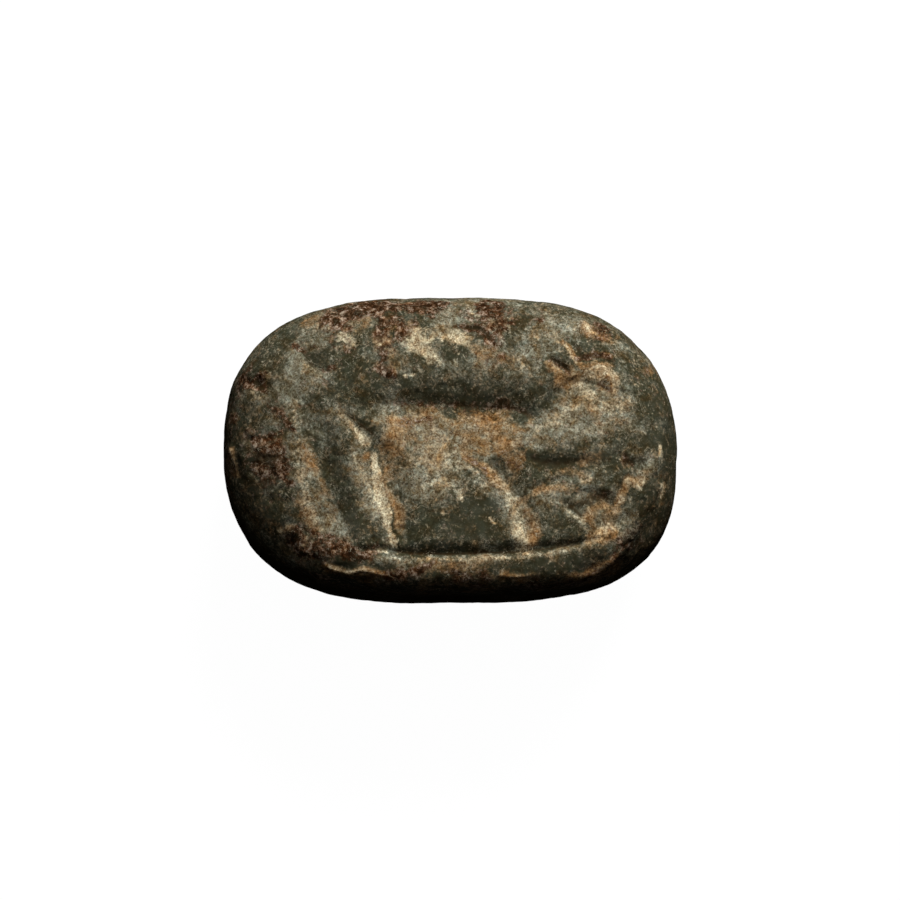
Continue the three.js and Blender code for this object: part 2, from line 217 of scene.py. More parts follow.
# Keen ridges that flakes have left along the edge, in rows like those of the cuts, but with their height.
RIDGES = [
    [(-6.9, -6.75, 0.2, 0.14, 0.06), (-6.55, -7.08, 0.24, 0.15, 0.16), (-6.0, -7.24, 0.24, 0.15, 0.17),
     (-5.4, -7.36, 0.26, 0.16, 0.18), (-4.8, -7.22, 0.26, 0.16, 0.2), (-4.2, -7.36, 0.26, 0.16, 0.18),
     (-3.5, -7.58, 0.2, 0.14, 0.07)],
    [(6.3, -7.7, 0.2, 0.14, 0.06), (7.2, -7.46, 0.28, 0.18, 0.24), (8.1, -7.16, 0.28, 0.18, 0.26),
     (8.7, -6.74, 0.28, 0.18, 0.26), (9.2, -6.25, 0.2, 0.14, 0.1)],
    [(2.6, -7.58, 0.2, 0.14, 0.04), (3.4, -7.66, 0.24, 0.16, 0.14), (4.3, -7.6, 0.22, 0.14, 0.1),
     (4.9, -7.55, 0.18, 0.12, 0.03)],
    [(-11.95, -0.1, 0.18, 0.14, 0.08), (-11.9, -0.6, 0.24, 0.16, 0.3), (-11.78, -1.2, 0.24, 0.16, 0.26),
     (-11.7, -1.8, 0.18, 0.14, 0.08)],
    [(11.5, -0.2, 0.16, 0.16, 0.05), (11.44, -0.6, 0.22, 0.22, 0.16), (11.36, -1.0, 0.16, 0.16, 0.05)],
    [(11.62, -2.2, 0.16, 0.16, 0.06), (11.54, -2.6, 0.22, 0.22, 0.18), (11.4, -3.1, 0.18, 0.18, 0.1)],
]

# Flakes struck from the edge, as scoops: x, y, z, radius, depth.
FLAKES = [
    (-12.3, -1.4, 9.0, 1.1, 0.22), (11.9, -3.0, 9.2, 0.7, 0.12), (9.0, -7.9, 8.6, 1.6, 0.22),
    (-10.8, 3.1, 10.4, 0.8, 0.16), (3.4, -8.0, 8.8, 1.2, 0.16), (-2.4, 7.8, 8.8, 1.3, 0.14),
    (10.2, 5.6, 8.2, 1.2, 0.14), (-7.9, -7.0, 7.6, 1.5, 0.2), (-6.0, 7.6, 6.6, 1.4, 0.16),
    (5.2, 8.2, 5.6, 1.6, 0.18), (-10.6, -4.0, 3.2, 1.6, 0.16), (6.4, -6.6, 2.4, 1.7, 0.16),
]

# Stains on the face, some of them painted light and shade: strokes of x, y, reach, strength.
# Pale film, with painted light on a shaded wall of the tail and on the ground line's lit lip.
PALE_FILM_AND_HIGHLIGHTS = [
    [(-4.6, -6.85, 0.25, 0.5), (-3.2, -6.98, 0.3, 0.65), (-1.8, -7.02, 0.3, 0.65), (-0.4, -6.98, 0.3, 0.55),
     (1.0, -6.92, 0.28, 0.5), (2.6, -6.85, 0.22, 0.45)],
    [(-7.9, 6.1, 0.6, 0.3), (-6.8, 6.0, 0.5, 0.35)],
    [(-8.7, 4.7, 0.3, 0.5), (-8.65, 4.1, 0.35, 0.6), (-8.6, 3.4, 0.35, 0.5), (-8.5, 3.1, 0.3, 0.4)],
    [(-8.2, 4.4, 0.3, 0.4), (-7.9, 4.0, 0.3, 0.35)],
    [(-7.6, 3.3, 0.5, 0.35), (-6.9, 3.35, 0.35, 0.4)],
    [(-8.0, 2.3, 0.7, 0.4), (-7.4, 1.2, 0.7, 0.45), (-6.9, 0.3, 0.6, 0.4)],
    [(-4.9, 4.6, 0.4, 0.35), (-4.2, 4.7, 0.4, 0.4), (-4.1, 4.3, 0.3, 0.3)],
    [(-4.8, 3.1, 0.25, 0.5), (-4.4, 3.0, 0.2, 0.4)],
    [(-4.9, 6.7, 0.5, 0.3), (-4.2, 6.6, 0.4, 0.3)],
    [(-11.4, 2.45, 0.3, 0.35), (-10.9, 2.6, 0.3, 0.5), (-10.3, 2.35, 0.3, 0.5), (-9.7, 2.05, 0.3, 0.4)],
    [(-8.8, 2.5, 0.4, 0.4), (-8.5, 1.7, 0.4, 0.45), (-8.3, 0.8, 0.4, 0.5), (-8.5, 0.0, 0.4, 0.5)],
    [(-8.5, -0.4, 0.45, 0.5), (-8.5, -1.3, 0.4, 0.55), (-8.4, -2.2, 0.4, 0.55), (-8.1, -3.0, 0.4, 0.55),
     (-7.8, -3.9, 0.4, 0.6), (-7.3, -4.7, 0.4, 0.4), (-6.7, -5.3, 0.35, 0.25)],
    [(-7.8, -2.2, 0.5, 0.4), (-7.3, -3.0, 0.4, 0.4), (-7.0, -4.0, 0.4, 0.4)],
    [(-10.6, -1.3, 0.35, 0.3), (-9.8, -2.6, 0.25, 0.4)],
    [(-6.6, -4.6, 0.3, 0.35), (-6.0, -5.2, 0.35, 0.3), (-5.5, -5.6, 0.3, 0.25)],
    # Painted light that lifts the shaded wall of the tail's cut.
    [(-6.3, -1.5, 0.4, 0.4), (-6.1, -2.3, 0.4, 0.45), (-5.8, -3.0, 0.3, 0.3)],
    [(-6.4, 1.7, 0.35, 0.45), (-5.8, 1.25, 0.35, 0.6), (-5.3, 0.75, 0.4, 0.7), (-4.9, 0.25, 0.4, 0.7),
     (-4.55, -0.3, 0.35, 0.6)],
    [(-5.4, 1.9, 0.4, 0.4), (-4.7, 1.3, 0.35, 0.4)],
    [(-5.1, -0.4, 0.4, 0.7), (-4.9, -1.4, 0.45, 0.95), (-4.6, -2.3, 0.45, 1.0), (-4.25, -3.2, 0.4, 0.95),
     (-3.95, -4.2, 0.36, 0.9), (-3.7, -5.1, 0.32, 0.8), (-3.45, -5.8, 0.32, 0.6)],
    # Pale film and a painted highlight on the ground line's lit lower lip.
    [(-4.4, -6.62, 0.16, 0.6), (-2.4, -6.76, 0.2, 0.75), (0.3, -6.72, 0.2, 0.75), (2.4, -6.68, 0.2, 0.75),
     (4.2, -6.55, 0.18, 0.75), (6.2, -6.26, 0.16, 0.7), (7.6, -6.0, 0.14, 0.5)],
    [(-3.9, 1.65, 0.25, 0.5), (-2.6, 1.7, 0.22, 0.45), (-1.2, 1.5, 0.2, 0.35)],
    [(-2.9, 0.2, 0.5, 0.25), (-1.9, 0.1, 0.5, 0.35), (-0.6, 0.4, 0.5, 0.45), (-0.4, -0.4, 0.5, 0.45)],
    [(-2.6, -2.2, 0.5, 0.4), (-1.8, -1.9, 0.45, 0.5), (-1.3, -2.7, 0.55, 0.65), (-0.6, -2.6, 0.5, 0.7),
     (0.2, -2.9, 0.5, 0.65), (0.9, -3.0, 0.35, 0.5)],
    [(-1.0, -3.3, 0.4, 0.4), (-0.2, -3.4, 0.35, 0.35)],
    [(0.9, -1.4, 0.35, 0.5), (1.5, -2.1, 0.4, 0.6), (2.2, -2.7, 0.35, 0.5)],
    [(1.5, -1.2, 0.25, 0.5), (2.3, -1.9, 0.3, 0.6), (3.0, -2.8, 0.32, 0.65), (3.4, -3.8, 0.36, 0.7),
     (3.6, -4.8, 0.4, 0.7), (3.8, -5.7, 0.45, 0.7), (4.1, -6.1, 0.35, 0.6)],
    [(4.3, -4.6, 0.35, 0.5), (4.5, -5.2, 0.3, 0.4)],
    [(2.7, -1.6, 0.3, 0.35), (3.3, -2.3, 0.3, 0.4)],
    [(4.2, -0.3, 0.5, 0.65), (4.9, 0.3, 0.6, 0.85), (5.7, 0.9, 0.7, 0.95), (6.6, 1.5, 0.7, 0.95),
     (7.6, 1.9, 0.7, 0.9), (8.6, 2.0, 0.6, 0.7)],
    [(4.6, -0.7, 0.4, 0.5), (5.4, -0.2, 0.4, 0.5), (6.2, 0.2, 0.4, 0.4)],
    [(7.8, 1.5, 0.35, 0.5), (8.4, 1.1, 0.5, 0.45), (9.3, 1.2, 0.5, 0.4), (9.8, 1.8, 0.4, 0.4)],
    [(6.8, 0.6, 0.5, 0.4), (8.0, 0.5, 0.5, 0.35)],
    [(5.4, 6.6, 0.4, 0.25), (5.5, 5.8, 0.4, 0.2), (5.9, 5.5, 0.3, 0.4)],
    [(6.6, 6.4, 0.3, 0.35), (6.7, 5.7, 0.25, 0.35)],
    [(5.0, 4.9, 0.4, 0.3), (5.6, 4.9, 0.35, 0.3)],
    [(3.5, 4.0, 0.3, 0.4), (3.9, 3.7, 0.35, 0.5), (4.1, 3.5, 0.25, 0.4)],
    [(2.8, 4.6, 0.4, 0.35), (4.5, 4.6, 0.5, 0.3)],
    [(8.7, 5.3, 0.3, 0.45), (9.2, 5.1, 0.35, 0.45), (9.0, 4.7, 0.3, 0.4)],
    [(9.4, 3.2, 0.5, 0.35), (9.8, 2.5, 0.5, 0.35)],
    [(10.4, 0.4, 0.4, 0.25), (11.0, 0.9, 0.4, 0.2)],
    [(0.2, 4.3, 0.3, 0.4)],
    [(-0.9, 4.6, 0.4, 0.5), (-0.6, 4.1, 0.35, 0.4)],
    [(-1.4, 6.3, 0.5, 0.35), (-0.3, 6.2, 0.5, 0.4)],
    [(5.6, -2.1, 0.4, 0.35), (6.8, -1.95, 0.35, 0.35), (7.4, -2.3, 0.4, 0.5)],
    [(10.2, -2.1, 0.4, 0.45), (10.6, -1.9, 0.3, 0.45)],
    [(10.3, -1.2, 0.3, 0.4), (10.9, -1.6, 0.3, 0.35)],
    [(5.9, -3.7, 0.25, 0.4), (6.3, -4.2, 0.3, 0.5), (6.9, -4.6, 0.3, 0.55), (7.4, -5.0, 0.25, 0.5)],
    [(9.9, -3.6, 0.4, 0.3), (9.8, -4.6, 0.4, 0.3)],
    [(-5.6, -7.05, 0.3, 0.4), (-4.2, -7.1, 0.3, 0.45), (-3.2, -7.3, 0.25, 0.4)],
    [(-1.2, -5.5, 0.2, 0.5)],
    [(2.0, -5.3, 0.15, 0.5)],
    [(1.0, -5.6, 0.25, 0.4)],
    [(2.6, -5.9, 0.2, 0.4)],
]
# Cream: lime in the marks and hollows, and painted highlights on some lit walls and ridges.
CREAM_LIME_AND_HIGHLIGHTS = [
    [(-8.5, -5.65, 0.3, 0.3), (-7.7, -5.9, 0.35, 0.3), (-6.8, -6.15, 0.3, 0.3), (-5.7, -6.35, 0.3, 0.3),
     (-4.9, -6.4, 0.22, 0.3)],
    [(-7.6, -5.3, 0.25, 0.25), (-6.9, -5.6, 0.25, 0.2)],
    [(-2.5, 5.4, 0.5, 0.5), (-1.9, 5.2, 0.6, 0.8), (-1.5, 4.9, 0.6, 1.0), (-1.25, 4.4, 0.5, 0.9),
     (-1.05, 3.9, 0.35, 0.5)],
    [(-1.6, 5.6, 0.4, 0.4), (-0.8, 5.75, 0.3, 0.3), (0.0, 5.45, 0.3, 0.45), (0.6, 5.5, 0.35, 0.7),
     (1.05, 5.35, 0.3, 0.4)],
    [(-5.95, 5.5, 0.3, 0.6), (-5.5, 5.25, 0.3, 0.65)],
    [(-2.45, 3.3, 0.14, 0.9)],
    [(-2.1, 3.38, 0.14, 0.9)],
    [(-10.9, 2.6, 0.25, 0.3), (-10.3, 2.4, 0.25, 0.35)],
    # Cream lime and a painted highlight on the hind leg groove's lit left wall.
    [(-3.95, -1.2, 0.2, 0.9), (-3.85, -2.1, 0.27, 1.5), (-3.68, -3.0, 0.3, 1.6), (-3.47, -4.0, 0.28, 1.5),
     (-3.3, -5.0, 0.26, 1.3), (-3.15, -5.75, 0.24, 0.8)],
    [(-4.95, -1.0, 0.35, 0.35), (-4.6, -2.1, 0.38, 0.4), (-4.2, -3.1, 0.32, 0.4), (-3.85, -4.2, 0.28, 0.35),
     (-3.6, -5.1, 0.25, 0.3)],
    [(-5.7, 1.05, 0.25, 0.55), (-5.2, 0.6, 0.3, 0.7), (-4.8, 0.1, 0.3, 0.7), (-4.5, -0.4, 0.25, 0.5)],
    [(-1.3, -2.7, 0.4, 0.35), (-0.6, -2.6, 0.4, 0.4), (0.2, -2.9, 0.4, 0.35), (0.6, -3.4, 0.2, 0.7)],
    [(0.4, 0.5, 0.3, 0.3)],
    [(-2.3, -1.7, 0.4, 0.25), (-1.4, -1.6, 0.5, 0.3), (-0.5, -1.7, 0.5, 0.35), (0.4, -1.8, 0.45, 0.3)],
    [(-0.8, -0.9, 0.4, 0.25), (0.2, -1.0, 0.4, 0.3)],
    [(0.7, -1.5, 0.3, 0.25), (1.4, -2.2, 0.35, 0.3), (2.1, -2.8, 0.3, 0.3)],
    [(2.3, -1.9, 0.2, 0.15), (3.0, -2.8, 0.3, 0.3), (3.4, -3.8, 0.34, 0.45), (3.6, -4.8, 0.36, 0.55),
     (3.8, -5.7, 0.42, 0.7), (4.1, -6.1, 0.35, 0.55)],
    [(4.9, 0.3, 0.4, 0.3), (5.7, 0.9, 0.45, 0.35), (6.6, 1.5, 0.45, 0.35), (7.6, 1.9, 0.5, 0.4)],
    [(7.3, 2.5, 0.4, 0.45), (7.9, 2.3, 0.35, 0.5)],
    [(6.6, 2.5, 0.25, 0.35), (7.1, 3.0, 0.25, 0.35), (7.7, 3.5, 0.25, 0.4), (8.3, 3.5, 0.25, 0.4),
     (8.85, 3.2, 0.22, 0.45), (8.9, 2.6, 0.2, 0.35)],
    [(8.4, 1.6, 0.4, 0.4), (9.2, 1.7, 0.4, 0.35)],
    [(6.2, 5.1, 0.08, 0.6), (6.5, 4.65, 0.1, 0.7), (6.85, 4.1, 0.1, 0.7)],
    [(7.4, 3.65, 0.1, 0.3), (8.2, 3.9, 0.1, 0.3), (9.0, 3.55, 0.12, 0.35), (9.2, 2.9, 0.12, 0.3)],
    [(2.2, 0.2, 0.35, 0.3)],
    [(4.3, -4.9, 0.2, 0.35), (4.35, -5.4, 0.22, 0.4)],
    [(-8.3, -0.6, 0.3, 0.3), (-8.2, -1.8, 0.3, 0.35), (-7.9, -3.0, 0.3, 0.35), (-7.3, -4.3, 0.3, 0.3),
     (-6.6, -5.2, 0.3, 0.15)],
    [(-8.5, 1.8, 0.3, 0.25), (-8.3, 0.6, 0.3, 0.3)],
    [(-10.3, -0.3, 0.15, 0.4)],
    [(-9.7, -1.9, 0.12, 0.4)],
    [(7.7, 1.5, 0.25, 0.5)],
    [(9.3, 1.6, 0.2, 0.4)],
    [(9.9, 2.1, 0.2, 0.4)],
    [(3.9, 3.7, 0.3, 0.4)],
    [(8.9, 5.2, 0.3, 0.3)],
    [(0.45, 4.55, 0.08, 0.9)],
    [(7.4, -2.3, 0.35, 0.45)],
    [(9.6, -2.4, 0.25, 0.5), (10.2, -2.55, 0.25, 0.5), (10.6, -1.9, 0.25, 0.4)],
    [(11.45, -0.35, 0.12, 0.9), (11.4, -0.8, 0.14, 0.9)],
    [(11.6, -2.35, 0.12, 1.0), (11.45, -2.9, 0.16, 1.0)],
    # Painted highlights along the lit sides of the ridges that flakes left on the rim.
    [(-11.88, -0.6, 0.12, 0.6), (-11.76, -1.2, 0.12, 0.6)],
    [(-6.5, -7.1, 0.1, 0.5), (-5.9, -7.25, 0.1, 0.5), (-5.4, -7.35, 0.1, 0.5), (-4.8, -7.22, 0.12, 0.6),
     (-4.2, -7.36, 0.1, 0.5)],
    [(7.3, -7.46, 0.12, 0.4), (8.1, -7.18, 0.12, 0.4)],
    [(6.3, -4.2, 0.25, 0.3), (6.9, -4.6, 0.25, 0.4), (7.4, -5.0, 0.2, 0.35)],
    [(7.6, -5.7, 0.3, 0.4), (8.15, -5.2, 0.4, 0.65), (8.6, -4.95, 0.35, 0.5), (9.2, -4.7, 0.25, 0.35)],
    # Cream lime and a painted highlight on the ground line's lit lower lip.
    [(-4.5, -6.62, 0.14, 0.3), (-3.5, -6.7, 0.18, 0.32), (-2.4, -6.78, 0.2, 0.34), (-1.0, -6.76, 0.2, 0.3),
     (0.3, -6.72, 0.2, 0.36), (1.2, -6.7, 0.2, 0.4), (2.4, -6.7, 0.2, 0.4), (3.6, -6.65, 0.18, 0.3),
     (5.0, -6.45, 0.16, 0.28), (6.2, -6.28, 0.14, 0.25), (7.4, -6.05, 0.14, 0.2)],
    [(-4.0, -6.15, 0.2, 0.6), (-3.5, -6.2, 0.16, 0.6)],
    [(-0.35, -4.2, 0.12, 0.7)],
    [(0.7, -3.55, 0.14, 0.7)],
    [(2.1, -4.5, 0.1, 0.8), (2.4, -4.8, 0.1, 0.8)],
    [(-3.9, 5.2, 0.25, 0.4), (-3.2, 4.6, 0.3, 0.35)],
    [(1.3, 6.7, 0.35, 0.45), (2.0, 6.4, 0.45, 0.45), (2.8, 6.3, 0.45, 0.45), (3.3, 5.8, 0.3, 0.3)],
    [(7.7, 6.15, 0.3, 0.65), (8.0, 5.85, 0.25, 0.5)],
]
TAN = [
    [(-11.3, -1.8, 0.5, 0.25), (-10.8, -3.0, 0.7, 0.3), (-9.8, -4.3, 0.7, 0.3), (-8.8, -5.2, 0.4, 0.3)],
    [(-11.2, 0.6, 0.6, 0.25), (-10.6, 1.6, 0.5, 0.2)],
    [(11.7, -2.0, 0.4, 0.2), (11.0, -4.6, 0.5, 0.25), (10.0, -6.2, 0.5, 0.3)],
    [(8.2, -5.5, 0.35, 0.6), (8.9, -5.1, 0.35, 0.6)],
    [(-3.1, 1.05, 0.3, 0.8), (-2.5, 0.9, 0.35, 0.9), (-1.9, 0.75, 0.3, 0.8), (-1.3, 1.15, 0.3, 0.9)],
    [(-3.3, 0.3, 0.4, 0.5), (-2.7, 0.2, 0.45, 0.5), (-2.1, 0.4, 0.4, 0.4)],
    [(-3.6, -0.5, 0.4, 0.7), (-3.0, -0.8, 0.5, 0.75), (-2.4, -1.5, 0.5, 0.6), (-3.1, -1.7, 0.4, 0.6)],
    [(-1.3, 0.2, 0.5, 0.4), (-0.5, -0.9, 0.5, 0.4), (-1.6, -1.1, 0.4, 0.4)],
    [(0.9, 1.3, 0.35, 0.8), (1.4, 1.2, 0.35, 0.8), (2.0, 1.0, 0.4, 0.7), (2.6, 1.1, 0.35, 0.7),
     (3.2, 1.2, 0.3, 0.6)],
    [(1.8, 0.4, 0.4, 0.6), (2.3, -0.1, 0.45, 0.7), (3.0, -0.3, 0.45, 0.8), (3.4, -0.9, 0.35, 0.7),
     (3.6, -1.7, 0.35, 0.6), (3.7, -2.4, 0.3, 0.4)],
    [(0.9, 0.1, 0.3, 0.5), (0.95, -0.5, 0.25, 0.6), (0.9, -1.0, 0.22, 1.0), (1.3, -1.4, 0.24, 1.1),
     (1.9, -1.8, 0.24, 1.1), (2.5, -2.3, 0.24, 1.0), (3.0, -3.1, 0.22, 0.8)],
    [(-4.4, -1.15, 0.25, 0.9)],
    [(-3.65, -2.3, 0.2, 0.8), (-3.35, -2.9, 0.22, 0.9), (-3.1, -3.35, 0.25, 1.0), (-2.8, -4.0, 0.2, 0.8),
     (-2.7, -5.0, 0.22, 0.7)],
    [(-3.9, -2.7, 0.2, 0.6)],
    [(-7.6, -1.2, 0.4, 0.8), (-7.2, -1.7, 0.3, 0.6)],
    [(-8.0, -1.9, 0.25, 0.6), (-8.2, -2.3, 0.2, 0.5)],
    [(-8.3, -3.3, 0.25, 0.5), (-7.9, -4.0, 0.3, 0.7), (-7.5, -4.4, 0.35, 0.8), (-7.2, -4.9, 0.3, 0.5)],
    [(-6.9, -2.5, 0.2, 0.5), (-6.6, -3.2, 0.2, 0.5)],
    [(-7.6, -5.6, 0.3, 0.7), (-7.1, -5.9, 0.25, 0.5)],
    [(4.0, -3.9, 0.3, 0.6), (4.2, -4.6, 0.35, 0.7), (4.4, -5.3, 0.4, 1.5), (4.2, -5.9, 0.35, 1.2)],
    [(3.5, -3.7, 0.25, 0.6), (4.0, -3.4, 0.25, 0.7), (4.6, -3.15, 0.25, 0.7), (5.2, -2.95, 0.25, 0.7),
     (5.9, -2.9, 0.25, 0.6), (6.7, -2.85, 0.22, 0.5)],
    [(5.4, -1.95, 0.25, 0.4), (6.3, -1.85, 0.22, 0.6), (7.0, -1.9, 0.25, 0.6), (7.4, -2.3, 0.35, 0.6)],
    [(7.1, -1.3, 0.25, 0.6), (8.0, -1.2, 0.2, 0.5)],
    [(9.3, -1.2, 0.2, 0.6), (9.7, -1.5, 0.2, 0.6)],
    [(10.6, -1.9, 0.22, 0.8), (10.1, -2.5, 0.25, 0.8), (9.6, -2.4, 0.22, 0.8), (9.4, -2.9, 0.2, 0.9),
     (9.2, -3.4, 0.22, 0.9), (9.0, -4.0, 0.25, 0.8)],
    [(7.6, -4.5, 0.3, 0.7), (8.0, -4.0, 0.35, 0.7), (8.5, -3.9, 0.3, 0.7), (8.6, -4.5, 0.3, 0.6)],
    [(7.7, -5.45, 0.3, 0.9), (8.1, -5.1, 0.25, 0.6), (9.0, -4.9, 0.25, 0.6)],
    [(5.3, 4.1, 0.14, 1.0), (5.72, 3.52, 0.18, 1.2), (6.2, 3.06, 0.22, 1.2), (6.65, 2.95, 0.2, 1.0)],
    [(6.15, 5.2, 0.14, 0.8), (6.5, 4.8, 0.16, 0.9), (6.85, 4.25, 0.16, 0.9), (7.0, 4.0, 0.15, 0.7)],
    [(6.6, 3.85, 0.16, 0.7), (6.45, 3.45, 0.2, 0.8)],
    [(5.9, 3.0, 0.25, 0.7), (6.5, 2.9, 0.28, 0.8), (7.1, 3.2, 0.3, 0.8), (7.7, 3.5, 0.3, 0.8),
     (8.3, 3.55, 0.3, 0.8), (8.85, 3.2, 0.28, 0.9), (8.85, 2.75, 0.25, 0.6)],
    [(7.2, 3.95, 0.15, 0.6), (8.0, 4.0, 0.15, 0.7), (8.8, 3.9, 0.15, 0.7)],
    [(7.4, 4.45, 0.22, 0.7), (8.1, 4.5, 0.22, 0.9), (8.7, 4.35, 0.2, 0.7)],
    [(8.1, 2.95, 0.25, 0.8), (8.6, 2.55, 0.25, 0.8)],
    [(6.2, 1.95, 0.2, 0.5)],
    [(7.7, 1.5, 0.3, 0.7), (8.1, 1.1, 0.3, 0.6)],
    [(9.1, 0.9, 0.3, 0.7), (9.5, 1.0, 0.25, 0.5)],
    [(8.8, 1.6, 0.3, 0.5), (9.7, 2.0, 0.35, 0.6)],
    [(5.5, 0.8, 0.3, 0.4), (4.6, 0.1, 0.3, 0.4)],
    [(1.5, 4.9, 0.3, 0.6), (2.0, 4.6, 0.35, 0.6), (2.3, 4.9, 0.3, 0.6)],
    [(1.8, 3.9, 0.3, 0.4), (3.0, 4.1, 0.4, 0.4)],
    [(-3.9, 5.2, 0.3, 0.7), (-3.2, 5.2, 0.3, 0.7)],
    [(-2.2, 6.1, 0.3, 0.5), (-1.5, 5.55, 0.3, 0.5)],
    [(-7.8, 6.55, 0.3, 0.7), (-7.2, 6.65, 0.3, 0.7)],
    [(-4.8, 6.2, 0.3, 0.5), (-4.7, 6.6, 0.3, 0.5)],
    [(7.5, 6.5, 0.25, 0.8), (7.8, 6.0, 0.4, 1.0), (8.4, 5.7, 0.3, 0.7)],
    [(-6.85, -6.8, 0.14, 0.9), (-6.5, -7.12, 0.16, 1.0), (-5.9, -7.28, 0.16, 1.0), (-5.4, -7.37, 0.18, 1.0),
     (-4.8, -7.24, 0.2, 1.1), (-4.2, -7.38, 0.18, 1.0), (-3.6, -7.56, 0.16, 0.7)],
    [(-0.9, -7.25, 0.35, 0.8), (0.2, -7.35, 0.4, 0.6), (1.2, -7.3, 0.35, 0.55), (2.0, -7.5, 0.3, 0.6)],
    [(0.6, -6.95, 0.3, 0.5), (2.2, -6.75, 0.25, 0.5)],
    [(2.8, -7.58, 0.2, 0.8), (3.6, -7.64, 0.2, 0.9), (4.4, -7.58, 0.2, 0.7)],
    [(6.5, -7.66, 0.2, 0.9), (7.3, -7.48, 0.25, 1.1), (8.1, -7.2, 0.22, 1.0), (8.7, -6.78, 0.22, 1.0),
     (9.1, -6.4, 0.2, 0.7)],
    [(5.3, -6.5, 0.25, 0.5)],
    [(-11.92, -0.4, 0.2, 1.2), (-11.82, -1.0, 0.2, 1.2), (-11.7, -1.7, 0.16, 1.0)],
    [(-12.0, 1.3, 0.25, 0.7)],
    [(10.8, 3.8, 0.25, 0.8)],
    [(-9.8, -5.2, 0.25, 0.6)],
    [(-8.9, -4.95, 0.25, 0.5), (-8.4, -4.85, 0.2, 0.6)],
    [(-11.2, -2.6, 0.2, 0.5)],
    [(11.6, -3.3, 0.12, 0.6)],
]
